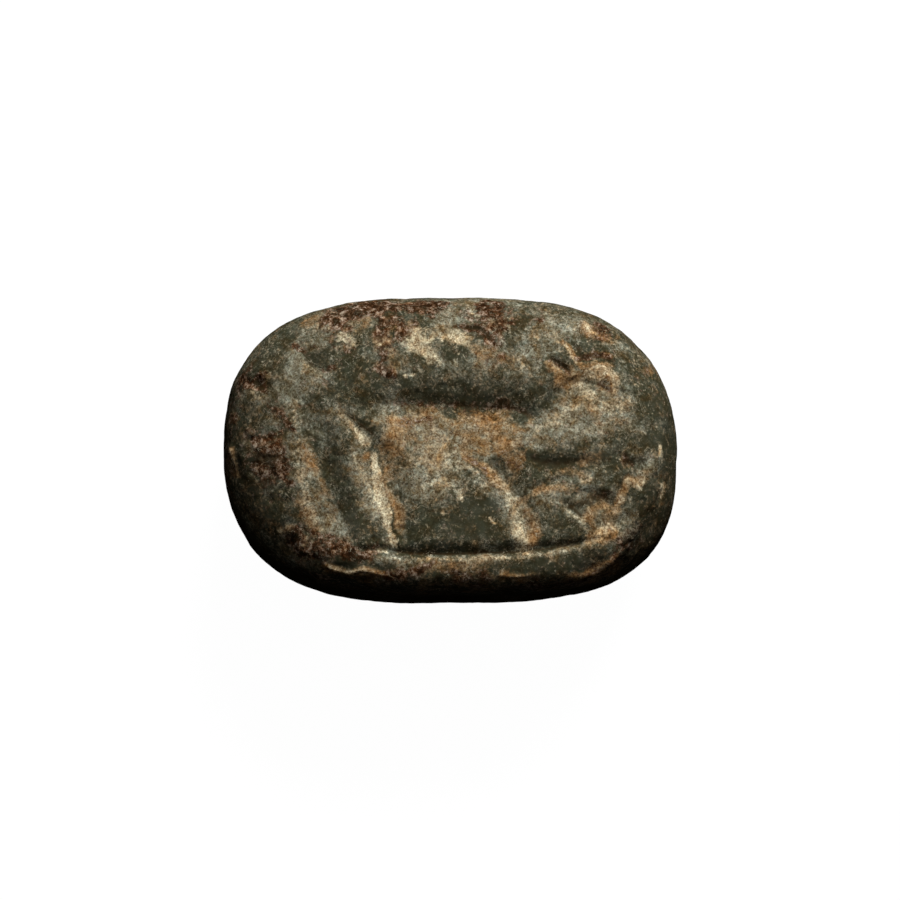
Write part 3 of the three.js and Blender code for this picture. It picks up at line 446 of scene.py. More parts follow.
RUST = [
    [(-6.9, 6.9, 0.25, 0.7), (-5.6, 7.3, 0.3, 0.9), (-4.3, 7.5, 0.3, 0.9), (-3.0, 7.55, 0.3, 0.9),
     (-1.8, 7.6, 0.3, 0.9), (-0.6, 7.65, 0.22, 0.8)],
    [(1.6, 7.45, 0.25, 0.7), (2.6, 7.45, 0.3, 0.7), (3.2, 7.1, 0.25, 0.5)],
    [(-3.2, 1.85, 0.2, 0.5), (-1.0, 1.75, 0.25, 0.5), (1.0, 1.65, 0.25, 0.4), (2.8, 1.7, 0.3, 0.7),
     (3.8, 1.5, 0.25, 0.5)],
    [(-7.0, 6.6, 0.3, 0.7), (-6.5, 6.75, 0.3, 0.9), (-6.0, 6.75, 0.4, 1.0), (-5.2, 6.95, 0.3, 0.9),
     (-4.2, 7.1, 0.25, 1.0), (-3.2, 7.15, 0.25, 1.0), (-2.2, 7.2, 0.3, 1.0), (-1.2, 7.2, 0.3, 0.9),
     (-0.3, 7.4, 0.25, 0.9), (0.2, 7.45, 0.2, 0.6)],
    [(-6.1, 6.4, 0.4, 0.8), (-5.8, 6.0, 0.3, 0.9)],
    [(-6.6, 6.2, 0.3, 0.5), (-6.3, 5.4, 0.25, 0.5), (-5.9, 5.0, 0.25, 0.4), (-5.3, 4.8, 0.3, 0.35)],
    [(-8.5, 5.15, 0.2, 0.9), (-8.2, 5.05, 0.22, 0.9), (-7.9, 4.8, 0.2, 0.9)],
    [(-6.7, 3.5, 0.2, 0.6), (-6.3, 3.75, 0.22, 0.7), (-6.0, 4.05, 0.2, 0.5)],
    [(-6.85, 3.05, 0.18, 0.6)],
    [(-4.0, 6.7, 0.35, 0.6), (-3.6, 6.2, 0.4, 0.8), (-3.7, 5.7, 0.35, 0.8), (-3.9, 5.2, 0.3, 0.4),
     (-3.5, 4.6, 0.3, 0.8), (-3.5, 3.9, 0.28, 0.8), (-3.2, 3.4, 0.28, 0.9)],
    [(-2.9, 6.6, 0.35, 0.6), (-2.7, 5.9, 0.35, 0.8), (-2.65, 5.4, 0.3, 0.7), (-2.8, 4.9, 0.25, 0.5)],
    [(-2.0, 6.5, 0.2, 0.6), (-1.9, 6.05, 0.18, 0.6)],
    [(-1.2, 6.9, 0.25, 0.6), (-0.9, 6.6, 0.22, 0.9)],
    [(0.55, 6.05, 0.18, 0.9), (1.2, 6.02, 0.2, 1.0), (1.75, 5.85, 0.25, 1.0), (2.0, 5.45, 0.25, 1.0),
     (2.3, 5.1, 0.25, 0.9), (2.6, 5.0, 0.2, 0.5)],
    [(1.1, 6.6, 0.35, 0.6), (1.8, 6.6, 0.45, 0.75), (2.5, 6.6, 0.5, 0.8), (2.6, 6.0, 0.5, 0.85),
     (3.3, 6.1, 0.4, 0.7)],
    [(1.8, 7.2, 0.3, 0.6), (2.5, 7.2, 0.3, 0.7)],
    [(4.4, 6.5, 0.4, 0.3), (5.0, 6.5, 0.2, 0.5)],
    [(2.2, 4.4, 0.35, 0.35), (3.2, 4.2, 0.35, 0.35)],
    [(7.95, 6.45, 0.2, 0.7), (8.3, 6.3, 0.2, 1.0), (8.6, 5.9, 0.25, 0.6)],
    [(7.6, 5.7, 0.3, 0.4), (8.35, 5.55, 0.16, 0.8)],
    [(-11.9, 3.6, 0.3, 0.7), (-11.4, 3.4, 0.35, 0.9), (-10.9, 3.2, 0.35, 1.0), (-10.4, 3.3, 0.35, 1.1),
     (-10.05, 3.0, 0.3, 1.1)],
    [(-11.1, 4.3, 0.3, 0.6), (-11.6, 3.0, 0.3, 0.6), (-12.0, 2.2, 0.25, 0.6)],
    [(-12.0, 1.4, 0.25, 0.8), (-12.1, 0.8, 0.2, 0.6)],
    [(-9.9, 1.95, 0.25, 0.5), (-9.4, 1.5, 0.3, 0.7), (-9.1, 1.1, 0.3, 0.7), (-8.8, 0.55, 0.3, 0.85),
     (-8.5, 0.35, 0.2, 0.7)],
    [(-10.9, 0.3, 0.35, 0.6), (-10.1, 0.2, 0.35, 0.7), (-9.3, 0.2, 0.3, 0.6)],
    [(-10.2, -0.4, 0.45, 0.7), (-9.5, -0.5, 0.4, 0.9), (-9.1, -1.0, 0.35, 0.9), (-9.0, -1.7, 0.3, 0.9),
     (-8.8, -2.5, 0.22, 0.8)],
    [(-10.7, -1.1, 0.45, 0.85), (-10.4, -1.7, 0.45, 0.8), (-9.8, -2.0, 0.4, 0.7), (-9.6, -1.4, 0.4, 0.8)],
    [(-9.7, -3.3, 0.35, 0.35)],
    [(-8.3, -4.9, 0.25, 0.5), (-7.4, -5.1, 0.3, 0.55), (-6.6, -5.5, 0.25, 0.5), (-5.8, -5.8, 0.25, 0.4)],
    [(-8.7, -5.7, 0.3, 0.8), (-8.2, -5.25, 0.3, 0.9), (-7.9, -6.0, 0.4, 0.9), (-7.2, -5.6, 0.35, 0.8)],
    [(-7.1, -6.1, 0.4, 0.85), (-6.4, -6.3, 0.4, 0.9), (-5.5, -6.4, 0.32, 0.9), (-4.75, -6.5, 0.25, 1.0),
     (-4.4, -6.6, 0.15, 0.6)],
    [(-6.4, -5.8, 0.3, 0.6), (-5.2, -6.1, 0.3, 0.6), (-4.3, -6.15, 0.25, 0.7)],
    [(-3.5, -7.65, 0.2, 0.7), (-2.6, -7.6, 0.25, 0.8), (-2.0, -7.4, 0.3, 0.9), (-1.5, -7.3, 0.3, 0.8),
     (-1.0, -7.25, 0.2, 0.5)],
    [(0.2, -7.6, 0.25, 0.6), (2.0, -7.65, 0.25, 0.7), (1.2, -7.8, 0.3, 0.5)],
    [(9.1, -5.5, 0.2, 0.9), (9.3, -5.75, 0.2, 0.8), (9.9, -5.65, 0.25, 0.9), (10.3, -5.35, 0.2, 0.8)],
    [(8.8, -6.5, 0.25, 0.6), (9.2, -6.0, 0.25, 0.5), (8.6, -7.0, 0.2, 0.6)],
    [(6.5, -7.8, 0.2, 0.6), (5.4, -8.0, 0.25, 0.5), (4.3, -7.9, 0.2, 0.5)],
    [(10.8, 3.8, 0.25, 0.6)],
    [(3.3, -1.0, 0.3, 0.4), (3.6, -1.8, 0.3, 0.35)],
    [(1.0, -1.05, 0.15, 0.7), (1.4, -1.45, 0.14, 0.7), (2.0, -1.95, 0.12, 0.5)],
    [(-1.2, 0.95, 0.22, 0.75), (-1.8, 0.85, 0.25, 0.6), (-2.5, 0.85, 0.28, 0.65)],
    [(-2.7, -5.0, 0.15, 0.6)],
    [(-1.0, -4.0, 0.15, 0.5)],
    [(7.0, 4.35, 0.18, 0.7), (7.7, 4.5, 0.2, 0.9), (8.5, 4.45, 0.18, 0.8), (8.9, 4.2, 0.14, 0.5)],
    [(8.1, 2.9, 0.2, 0.7), (8.6, 2.55, 0.2, 0.7)],
    [(5.5, 4.15, 0.12, 0.7), (6.0, 3.8, 0.16, 0.8), (6.5, 3.5, 0.18, 0.8)],
    [(8.0, -3.1, 0.25, 0.5), (8.9, -3.4, 0.2, 0.6)],
    [(9.4, -1.2, 0.2, 0.6), (9.8, -1.5, 0.2, 0.5)],
]
# Dark brown: dirt on the crusts and flank, and painted shade in the cuts, pits, eye and ground line.
DARK_DIRT_AND_SHADE = [
    [(-10.6, -0.9, 0.6, 0.6), (-9.9, -1.1, 0.6, 0.75), (-9.3, -1.0, 0.4, 0.65)],
    [(-10.2, -2.2, 0.5, 0.4), (-9.5, -2.0, 0.4, 0.4)],
    [(-9.5, 1.4, 0.3, 0.4), (-8.9, 0.7, 0.3, 0.4)],
    [(-6.3, 6.9, 0.3, 0.6), (-5.5, 6.9, 0.25, 0.4), (-4.6, 7.1, 0.25, 0.5)],
    [(-3.2, 7.2, 0.3, 0.6), (-2.2, 7.2, 0.2, 0.4), (-1.2, 7.2, 0.25, 0.6)],
    [(-6.1, 6.4, 0.35, 0.6)],
    [(-3.7, 6.3, 0.25, 0.5), (-3.6, 5.7, 0.2, 0.4)],
    [(-3.5, 4.5, 0.2, 0.4), (-3.4, 3.7, 0.2, 0.6)],
    [(-2.7, 5.6, 0.2, 0.4)],
    [(2.2, 6.5, 0.3, 0.5), (2.7, 6.0, 0.3, 0.4)],
    [(8.4, 6.15, 0.18, 0.5)],
    # Painted shade along the crevice under the animal's back.
    [(-4.0, 1.85, 0.2, 0.2), (-2.8, 1.95, 0.2, 0.3), (-1.2, 1.85, 0.2, 0.4), (0.0, 1.85, 0.22, 0.5),
     (1.2, 1.75, 0.22, 0.5), (2.4, 1.75, 0.22, 0.5), (2.9, 1.85, 0.25, 0.7), (3.6, 1.6, 0.25, 0.5),
     (4.3, 1.2, 0.25, 0.5)],
    [(4.0, 0.7, 0.2, 0.6)],
    [(-7.9, 4.75, 0.14, 0.6), (-7.7, 4.25, 0.16, 0.7), (-7.3, 3.85, 0.16, 0.6), (-6.9, 3.6, 0.12, 0.5)],
    [(-10.5, 3.2, 0.25, 0.9), (-10.1, 2.85, 0.22, 0.9)],
    [(5.5, 4.28, 0.12, 0.8), (5.95, 3.98, 0.16, 0.95), (6.35, 3.75, 0.2, 0.95), (6.5, 3.62, 0.16, 0.8)],
    [(6.65, 5.25, 0.2, 0.4), (6.95, 4.8, 0.2, 0.4), (7.15, 4.4, 0.22, 0.6)],
    [(7.4, 4.4, 0.2, 0.45), (8.0, 4.45, 0.18, 0.35), (8.6, 4.3, 0.16, 0.4), (8.9, 4.1, 0.14, 0.3)],
    [(8.15, 2.95, 0.16, 0.65), (8.5, 2.7, 0.18, 0.75), (8.7, 2.55, 0.14, 0.6)],
    [(-5.9, 1.45, 0.08, 0.6), (-5.2, 0.98, 0.1, 0.9), (-4.6, 0.5, 0.1, 0.9), (-4.1, 0.1, 0.1, 0.8),
     (-3.75, -0.3, 0.1, 0.6)],
    [(6.2, -3.6, 0.3, 0.6), (6.8, -4.0, 0.3, 0.8), (7.1, -4.35, 0.2, 0.8)],
    [(7.1, -3.6, 0.3, 0.7), (7.6, -3.75, 0.25, 0.7)],
    [(7.2, -3.3, 0.3, 0.6), (8.2, -3.25, 0.35, 0.75), (8.8, -3.45, 0.3, 0.75)],
    [(9.5, -5.6, 0.3, 0.6), (10.2, -5.4, 0.25, 0.6)],
    [(9.3, -0.9, 0.3, 0.4), (9.9, -1.4, 0.3, 0.5), (10.5, -1.0, 0.25, 0.4)],
    [(4.4, -1.2, 0.25, 0.5), (5.2, -1.4, 0.35, 0.7), (6.2, -1.3, 0.3, 0.6), (6.9, -1.15, 0.2, 0.4)],
    [(7.2, -1.2, 0.15, 0.7)],
    [(8.0, -1.5, 0.2, 0.5)],
    [(9.55, -1.45, 0.25, 0.5)],
    [(10.45, -1.6, 0.3, 0.5)],
    # Painted shadow of the ground line, above its lit lip.
    [(-3.2, -6.08, 0.1, 0.5), (-2.4, -6.3, 0.12, 0.9), (-1.2, -6.38, 0.12, 1.0), (0.0, -6.38, 0.12, 1.0),
     (1.5, -6.34, 0.12, 1.0), (3.0, -6.3, 0.12, 1.0), (5.0, -6.12, 0.12, 0.9), (6.3, -5.98, 0.1, 0.8),
     (7.2, -5.85, 0.07, 0.4)],
    [(-6.7, -2.6, 0.15, 0.4), (-6.4, -3.6, 0.15, 0.4)],
    [(0.7, 6.05, 0.14, 0.7), (1.7, 5.95, 0.18, 0.9), (2.1, 5.4, 0.15, 0.8)],
    [(6.15, 0.25, 0.18, 0.7)],
    [(-8.3, -5.3, 0.2, 0.9)],
    [(-8.0, -6.1, 0.2, 0.8)],
    [(10.0, -5.7, 0.2, 0.7)],
]
POLISHED = [
    [(-4.6, 2.7, 0.6, 0.5), (-2.5, 2.75, 0.7, 0.6), (0.0, 2.8, 0.8, 0.7), (2.5, 2.7, 0.8, 0.7),
     (4.4, 2.8, 0.7, 0.6), (5.3, 2.3, 0.5, 0.4)],
    [(-1.5, 2.2, 0.4, 0.7), (2.0, 2.1, 0.4, 0.7)],
    [(-11.6, 1.0, 0.7, 0.7), (-11.6, -0.8, 0.6, 0.7), (-11.2, -2.4, 0.7, 0.8), (-10.4, -3.6, 1.0, 0.9),
     (-9.4, -4.6, 0.8, 0.8)],
    [(11.6, 3.0, 0.7, 0.9), (12.0, 1.0, 0.7, 1.0), (11.9, -1.0, 0.6, 0.9), (11.4, -3.0, 0.7, 0.9),
     (10.8, -4.6, 0.8, 0.9), (10.0, -6.0, 0.8, 0.8)],
    [(10.2, -3.4, 0.5, 0.7)],
    [(-10.6, 4.6, 0.6, 0.6), (-9.4, 5.4, 0.6, 0.6), (-8.2, 6.2, 0.6, 0.5)],
    [(4.0, 6.3, 0.5, 0.7)],
    [(-6.2, -6.8, 0.25, 0.8), (-5.2, -6.95, 0.3, 1.0), (-4.2, -7.08, 0.28, 0.9), (-3.2, -7.2, 0.25, 0.8)],
    [(-4.4, 3.5, 0.5, 0.5), (-5.4, 3.8, 0.6, 0.6)],
    [(-7.5, 4.6, 0.4, 0.8), (-6.8, 4.6, 0.5, 0.9), (-6.2, 5.0, 0.4, 0.7)],
    [(-6.6, 0.4, 0.4, 0.5), (-6.4, -1.0, 0.4, 0.55), (-6.0, -2.4, 0.45, 0.65), (-5.5, -3.6, 0.65, 0.95),
     (-5.1, -4.5, 0.6, 1.0), (-4.7, -5.3, 0.45, 0.8)],
    [(1.4, -3.6, 0.6, 0.9), (2.2, -3.9, 0.6, 0.9), (0.4, -4.3, 0.8, 0.9), (1.4, -4.7, 0.9, 1.0),
     (0.2, -5.2, 0.8, 0.9), (2.2, -5.3, 0.7, 0.9), (-0.8, -5.0, 0.6, 0.7)],
    [(6.8, -0.2, 0.4, 0.5), (8.4, -0.2, 0.5, 0.5), (10.2, -0.1, 0.5, 0.7), (11.6, 0.1, 0.6, 1.0)],
    [(4.4, -1.2, 0.42, 0.9), (5.6, -1.25, 0.5, 1.0), (6.8, -1.2, 0.45, 1.0), (7.7, -1.2, 0.4, 0.85),
     (8.6, -1.1, 0.35, 0.6)],
    [(2.6, -7.2, 0.3, 0.7), (3.8, -7.25, 0.35, 0.9), (4.7, -7.15, 0.4, 0.9), (5.8, -7.05, 0.5, 1.0),
     (7.2, -6.75, 0.45, 1.0), (8.2, -6.4, 0.4, 0.9)],
    [(-10.8, -2.9, 0.5, 0.7), (-9.8, -4.0, 0.8, 0.8), (-8.9, -4.2, 0.4, 0.7)],
    [(10.75, -2.6, 0.45, 0.7), (10.5, -3.6, 0.5, 0.8), (10.6, -4.4, 0.45, 0.7)],
    [(-1.9, 4.1, 0.4, 0.7), (-2.2, 4.5, 0.3, 0.5)],
    [(-0.2, 4.7, 0.35, 0.7), (0.6, 4.6, 0.4, 0.7), (1.0, 3.9, 0.4, 0.5)],
    [(11.6, 1.8, 0.4, 0.7), (11.4, 2.8, 0.4, 0.6), (11.9, 0.8, 0.3, 0.7)],
    [(-11.4, 1.2, 0.5, 0.5), (-11.2, 0.8, 0.4, 0.5)],
]

# How a piece is stained. On the face: strokes, what their reach is multiplied by, strength.
STAINS = {
    "pale": (PALE_FILM_AND_HIGHLIGHTS, 1.8, 1.0),
    "tan": (TAN, 1.8, 1.1),
    "cream": (CREAM_LIME_AND_HIGHLIGHTS, 1.4, 1.3),
    "rust": (RUST, 1.8, 1.0),
    "dark_dirt_and_shade": (DARK_DIRT_AND_SHADE, 1.3, 1.0),
    "polish": (POLISHED, 1.5, 0.97),
}
# Off the face, as patches: level, swing, size, seed, and octaves where there aren't 3.
SIDE_STAINS = {
    "pale": (0.05, 0.3, 2.4, 61),
    "tan": (0.1, 0.4, 3.0, 71),
    "cream": (0.0, 0.0, 1.0, 0),
    "rust": (0.05, 0.6, 4.0, 81),
    "dark_dirt_and_shade": (0.15, 0.25, 3.2, 91, 2),
    "polish": (0.7, 0.0, 1.0, 0),
}
# Patches of the film over the unpolished face, and of earth and rust along its low edge.
BLOOM = (0.42, 0.42, 1.6, 431)
LOW_EDGE_STAINS = {"tan": (0.06, 0.6, 1.4, 441), "rust": (0.1, 0.6, 1.8, 451)}
LOW_EDGE_CLEAN = 0.85  # the share of the film that the low edge lacks
# Where the low edge and the low wall come in: start and width, along -Y, and for the wall's fall along -Z.
LOW_EDGE = (6.8, 0.4)
LOW_WALL_TURN = (0.0, 4.0)
LOW_WALL_FALL = (-9.6, 1.5)
# Painted shade: how much the dark layer darkens the low wall, which faces away from the key lamp.
LOW_WALL_PAINTED_SHADE = 0.5
MOST_STAIN = 1.4  # past which a stain grows no stronger

# What lies on the stone: node, then strokes of x, y, reach to the left, reach to the right, height.
SILT = {
    "silt_in_body": [
        [(-3.5, 0.7, 0.9, 1.4, 0.05), (-1.5, 0.3, 1.5, 2.6, 0.07), (0.5, 0.1, 1.6, 3.0, 0.07),
         (2.6, 0.3, 1.3, 2.2, 0.07), (3.9, 0.5, 0.9, 1.4, 0.05)]],
    "silt_in_hind_leg": [
        [(-3.4, -1.4, 0.5, 0.3, 0.03), (-3.1, -3.0, 0.5, 0.3, 0.05), (-2.7, -4.6, 0.5, 0.3, 0.05),
         (-2.5, -5.6, 0.4, 0.25, 0.03)]],
    "silt_in_tail": [
        [(-7.9, -0.2, 0.7, 0.7, 0.03), (-7.6, -1.8, 0.9, 0.9, 0.05), (-7.1, -3.4, 0.9, 0.9, 0.05),
         (-6.5, -4.9, 0.8, 0.7, 0.03)]],
    "silt_in_foreleg": [
        [(2.6, -2.6, 0.5, 0.3, 0.03), (3.4, -3.6, 0.6, 0.5, 0.05), (4.1, -4.8, 0.7, 0.6, 0.05),
         (4.4, -5.8, 0.5, 0.4, 0.03)]],
    "silt_in_neck": [
        [(4.9, 0.4, 0.6, 0.9, 0.03), (6.0, 1.4, 0.9, 1.2, 0.05), (7.4, 2.0, 1.0, 1.2, 0.05),
         (9.0, 1.9, 0.8, 0.9, 0.03)]],
    "silt_in_head": [
        [(5.9, 2.9, 0.35, 0.35, 0.04), (6.8, 3.5, 0.4, 0.45, 0.06), (7.9, 3.75, 0.35, 0.5, 0.06),
         (8.9, 3.2, 0.35, 0.4, 0.04)]],
    "silt_in_low_hollow": [
        [(7.2, -4.4, 0.5, 0.7, 0.04), (8.2, -4.4, 0.6, 0.8, 0.05), (9.1, -4.0, 0.5, 0.7, 0.04)]],
}
LIME = {
    "lime_in_mark": [
        [(-2.2, 5.7, 0.4, 0.5, 0.05), (-1.5, 4.8, 0.55, 0.6, 0.07), (-1.1, 3.9, 0.35, 0.45, 0.05)],
        [(-1.4, 5.3, 0.4, 0.45, 0.05), (-0.4, 5.65, 0.35, 0.45, 0.06), (0.4, 5.5, 0.35, 0.45, 0.06),
         (1.1, 5.1, 0.35, 0.35, 0.04)]],
}
IRON_CRUST = {
    "iron_crust_top_left": [
        [(-6.8, 6.4, 0.6, 0.6, 0.06), (-5.6, 6.8, 0.6, 0.7, 0.08), (-4.4, 7.0, 0.5, 0.5, 0.07)],
        [(-5.7, 6.6, 0.4, 0.4, 0.08), (-5.5, 5.9, 0.35, 0.35, 0.06)],
        [(-4.6, 7.0, 0.4, 0.4, 0.07), (-2.9, 7.1, 0.4, 0.4, 0.07)]],
    "iron_crust_upper": [
        [(-3.3, 6.1, 0.6, 0.6, 0.07), (-3.4, 5.0, 0.6, 0.6, 0.08), (-3.2, 3.6, 0.5, 0.5, 0.07)]],
    "iron_crust_top": [
        [(0.6, 6.6, 0.6, 0.5, 0.06), (1.7, 6.3, 0.7, 0.6, 0.08), (2.6, 5.3, 0.6, 0.6, 0.07)],
        [(1.5, 6.5, 0.5, 0.5, 0.07), (3.2, 6.0, 0.5, 0.5, 0.06)]],
    "iron_crust_shoulder": [
        [(7.3, 6.3, 0.5, 0.5, 0.06), (8.5, 5.7, 0.5, 0.5, 0.07)]],
    "iron_crust_left": [
        [(-11.0, 3.6, 0.5, 0.6, 0.06), (-9.6, 3.2, 0.5, 0.5, 0.06)]],
    "iron_crust_flank": [
        [(-10.7, 0.5, 0.7, 0.7, 0.05), (-9.8, -0.8, 0.8, 0.8, 0.07), (-9.4, -2.2, 0.7, 0.7, 0.06)]],
    "iron_crust_lower_left": [
        [(-8.5, -5.0, 0.5, 0.5, 0.07), (-7.6, -5.8, 0.6, 0.5, 0.08), (-6.4, -6.3, 0.5, 0.5, 0.07)]],
    "iron_crust_lower_right": [
        [(9.1, -5.6, 0.5, 0.5, 0.06), (10.2, -4.8, 0.5, 0.5, 0.06)]],
}

# Colours, linear. Most are steps that a noise runs through: the noise's level, then the colour. Those of
# the tint and the pepper multiply what lies under them.
BARE_STONE = [
    (0.36, (0.0414, 0.0338, 0.016)), (0.44, (0.0404, 0.0385, 0.0207)), (0.52, (0.0451, 0.0451, 0.0273)),
    (0.6, (0.0602, 0.0592, 0.0395))]
BLOOM_FILM_AND_HIGHLIGHT = [
    (0.36, (0.1, 0.076, 0.041)), (0.44, (0.144, 0.123, 0.078)), (0.5, (0.182, 0.17, 0.122)),
    (0.56, (0.23, 0.222, 0.17)), (0.66, (0.37, 0.348, 0.27))]
CREAM_LIME_AND_HIGHLIGHT = [(0.4, (0.381, 0.314, 0.207)), (0.5, (0.538, 0.448, 0.297)), (0.6, (0.672, 0.582, 0.403))]
TAN_FILM = [
    (0.38, (0.139, 0.0728, 0.0278)), (0.45, (0.225, 0.126, 0.0514)), (0.5, (0.278, 0.171, 0.0803)),
    (0.56, (0.353, 0.241, 0.134)), (0.64, (0.492, 0.385, 0.246))]
RUST_FILM = [
    (0.42, (0.0187, 0.0085, 0.0034)), (0.49, (0.0467, 0.0204, 0.0085)), (0.54, (0.111, 0.0595, 0.0306)),
    (0.58, (0.221, 0.153, 0.111)), (0.66, (0.425, 0.34, 0.255))]
SILT_BODY = [
    (0.36, (0.158, 0.0893, 0.0368)), (0.43, (0.231, 0.139, 0.063)), (0.5, (0.273, 0.208, 0.124)),
    (0.57, (0.287, 0.257, 0.183)), (0.65, (0.394, 0.357, 0.266))]
LIME_BODY = [(0.4, (0.33, 0.275, 0.171)), (0.5, (0.528, 0.44, 0.286)), (0.6, (0.682, 0.594, 0.418))]
CRUST_BODY = [
    (0.42, (0.0197, 0.00902, 0.0041)), (0.48, (0.0492, 0.0221, 0.00902)), (0.53, (0.115, 0.0615, 0.0312)),
    (0.58, (0.221, 0.156, 0.111)), (0.65, (0.41, 0.328, 0.246))]
# Dark brown: of dirt, of painted shade in the cuts, and of dark hairs.
DARK_BROWN = (0.03, 0.021, 0.01)
HAIR = (0.5, 0.44, 0.32)
TINT = [(0.36, (1.12, 1.2, 1.24)), (0.5, (1.0, 0.98, 0.94)), (0.64, (0.94, 0.72, 0.5))]
PEPPER = [(0.385, (0.36, 0.27, 0.2)), (0.5, (1.0, 0.98, 0.95)), (0.615, (1.68, 1.76, 1.78))]

# Finishes.
POLISH_RANGE = (0.2, 0.9)  # the strengths between which polish comes in
HAIR_EDGE = 0.018  # how far from its middle the noise may be at a hair's edge
HAIR_CORE = 0.004  # and where the hair is full
HAIR_PATCH = 0.6  # the size of the patches that have hairs
HAIR_SEED = 20  # past that of the curl
STONE_RELIEF = 0.03

# Kinds of deposit: slot, finish, its body's colours and relief, pieces, size of grains, crumble, first seed.
DEPOSITS = [
    ("silt", "packed_silt", SILT_BODY, 0.05, SILT, 0.22, 0.5, 100),
    ("lime", "chalky_lime", LIME_BODY, 0.04, LIME, 0.2, 0.6, 200),
    ("iron_crust", "iron_crust", CRUST_BODY, 0.06, IRON_CRUST, 0.24, 1.2, 300),
]
SEED_STEP = 10  # from one piece of a kind to the next


def lattice(x, y, z, seed):
    """A fixed share from 0 to 1 for each whole-number place: its coordinates' bits, multiplied and folded."""
    bits = sum(value * factor for value, factor in zip((x, y, z, seed), HASH_FACTORS)) & HASH_WORD
    bits = ((bits ^ (bits >> 13)) * HASH_FOLD) & HASH_WORD
    return (bits ^ (bits >> 16)) / HASH_WORD


def noise(points, size, seed):
    """Smooth noise from -1 to 1: fixed shares on a cubic lattice of that size, eased between its corners."""
    scaled = points / size
    corner = np.floor(scaled).astype(np.int64)
    ease = scaled - corner
    ease = ease * ease * (3 - 2 * ease)
    total = np.zeros(len(points))
    for step in np.ndindex(2, 2, 2):
        weight = np.prod(np.where(step, ease, 1 - ease), axis=1)
        total += weight * lattice(*(corner + step).T, seed)
    return 2 * total - 1


def rough(points, size, seed, octaves=3):
    """Noise added up in octaves, each half the size and half the strength of the one before."""
    return sum(noise(points, size / 2**i, seed + i) / 2**i for i in range(octaves))


def patches(points, level, swing, size, seed, octaves=3):
    """A level with rough noise about it: level + swing * noise."""
    return level + swing * rough(points, size, seed, octaves)


def rise(value, start, width):
    """0 up to the start, and from there a straight rise to 1 over the width."""
    return np.clip((value - start) / width, 0, 1)


def through(rows):
    """A smooth line through rows of values: each column is a Catmull-Rom curve through its numbers."""
    rows = np.array(rows, float)
    if len(rows) == 1:
        return rows
    ends = np.vstack([2 * rows[0] - rows[1], rows, 2 * rows[-1] - rows[-2]])
    share = np.linspace(0, 1, LINE_STEPS, endpoint=False)[:, None]
    spans = []
    for a, b, c, d in zip(ends[:-3], ends[1:-2], ends[2:-1], ends[3:]):
        bend = 1.5 * (b - c) + (d - a) / 2
        spans.append(b + share * ((c - a) / 2 + share * (a - 2.5 * b + 2 * c - d / 2 + share * bend)))
    return np.vstack([*spans, rows[-1:]])


def beside(x, y, line):
    """For each place: the nearest row of the line, the distance to it, and whether it lies to its left."""
    way = np.gradient(line[:, :2], axis=0) if len(line) > 1 else np.array([[1.0, 0.0]])
    offset = np.stack([x, y], axis=1)[:, None, :] - line[None, :, :2]
    squared = (offset**2).sum(axis=2)
    nearest = squared.argmin(axis=1)
    picked = np.arange(len(x))
    dx, dy = offset[picked, nearest].T
    left = way[nearest, 0] * dy - way[nearest, 1] * dx > 0
    return line[nearest], np.sqrt(squared[picked, nearest]), left


def stroke(x, y, rows, left_keen=2.0, right_keen=2.0):
    """A stroke's value at each place: its own, in the last column of its rows, times
    (1 - (distance / reach) ** keen) squared. Reach and keenness may differ left and right of its way."""
    line = through(rows)
    most = line[:, 2:-1].max()
    value = np.zeros(len(x))
    near = ((x > line[:, 0].min() - most) & (x < line[:, 0].max() + most)
            & (y > line[:, 1].min() - most) & (y < line[:, 1].max() + most))
    if near.any():
        row, distance, left = beside(x[near], y[near], line)
        reach = np.maximum(np.where(left, row[:, 2], row[:, -2]), LEAST_REACH)
        share = np.clip(distance / reach, 0, 1)
        keen = np.where(left, left_keen, right_keen)
        value[near] = np.maximum(row[:, -1], 0) * (1 - share**keen) ** 2
    return value


def engraving(x, y):
    """The depth of the whole picture: cuts run into each other as the root of their summed powers."""
    depths = (stroke(x, y, rows, left_keen, right_keen) for left_keen, right_keen, rows in CUTS.values())
    return sum(depth**MERGE_POWER for depth in depths) ** (1 / MERGE_POWER)


def stray(points):
    """How far a stain or crust strays at each place, along X and along Y, as a share of its reach: noise."""
    return [rough(points, STRAY_SIZE, seed) for seed in STRAY_SEEDS]


def ragged(points, rows, strays, keen=2.0):
    """A stroke's value where its places have strayed, so that it has no smooth edge."""
    reach = STRAY_SHARE * np.mean([row[2] for row in rows])
    x, y = (points[:, axis] + reach * strays[axis] for axis in (0, 1))
    return stroke(x, y, rows, keen, keen)


def stain(points, strokes, strays, spread):
    """How strongly a stain shows at each place: 1 less the product of the shares that its strokes leave bare,
    each with its reach times the spread."""
    bare = np.ones(len(points))
    for rows in strokes:
        wide = [(x, y, reach * spread, strength) for x, y, reach, strength in rows]
        bare *= 1 - np.minimum(ragged(points, wide, strays), 1)
    return 1 - bare


def across_squareness(x, y):
    """How boxy the outline is across the seal, in the quarter that each place lies in."""
    return np.array(OUTLINE_ACROSS)[(y > 0).astype(int), (x > 0).astype(int)]


def gauge(x, y):
    """The share of the way from the middle of the plan to the outline: the size g of the superellipse
    |x / g| ** along + |y / g| ** across = 1 through each place, by Newton's steps on its logarithm."""
    across = across_squareness(x, y)
    u = np.maximum(np.abs(x / HALF_LENGTH), TINY)
    v = np.abs(y / HALF_WIDTH)
    size = np.maximum(u, v)
    for _ in range(NEWTON_STEPS):
        a, b = (u / size) ** OUTLINE_ALONG, (v / size) ** across
        size = size * np.exp((a + b - 1) / (OUTLINE_ALONG * a + across * b))
    return size


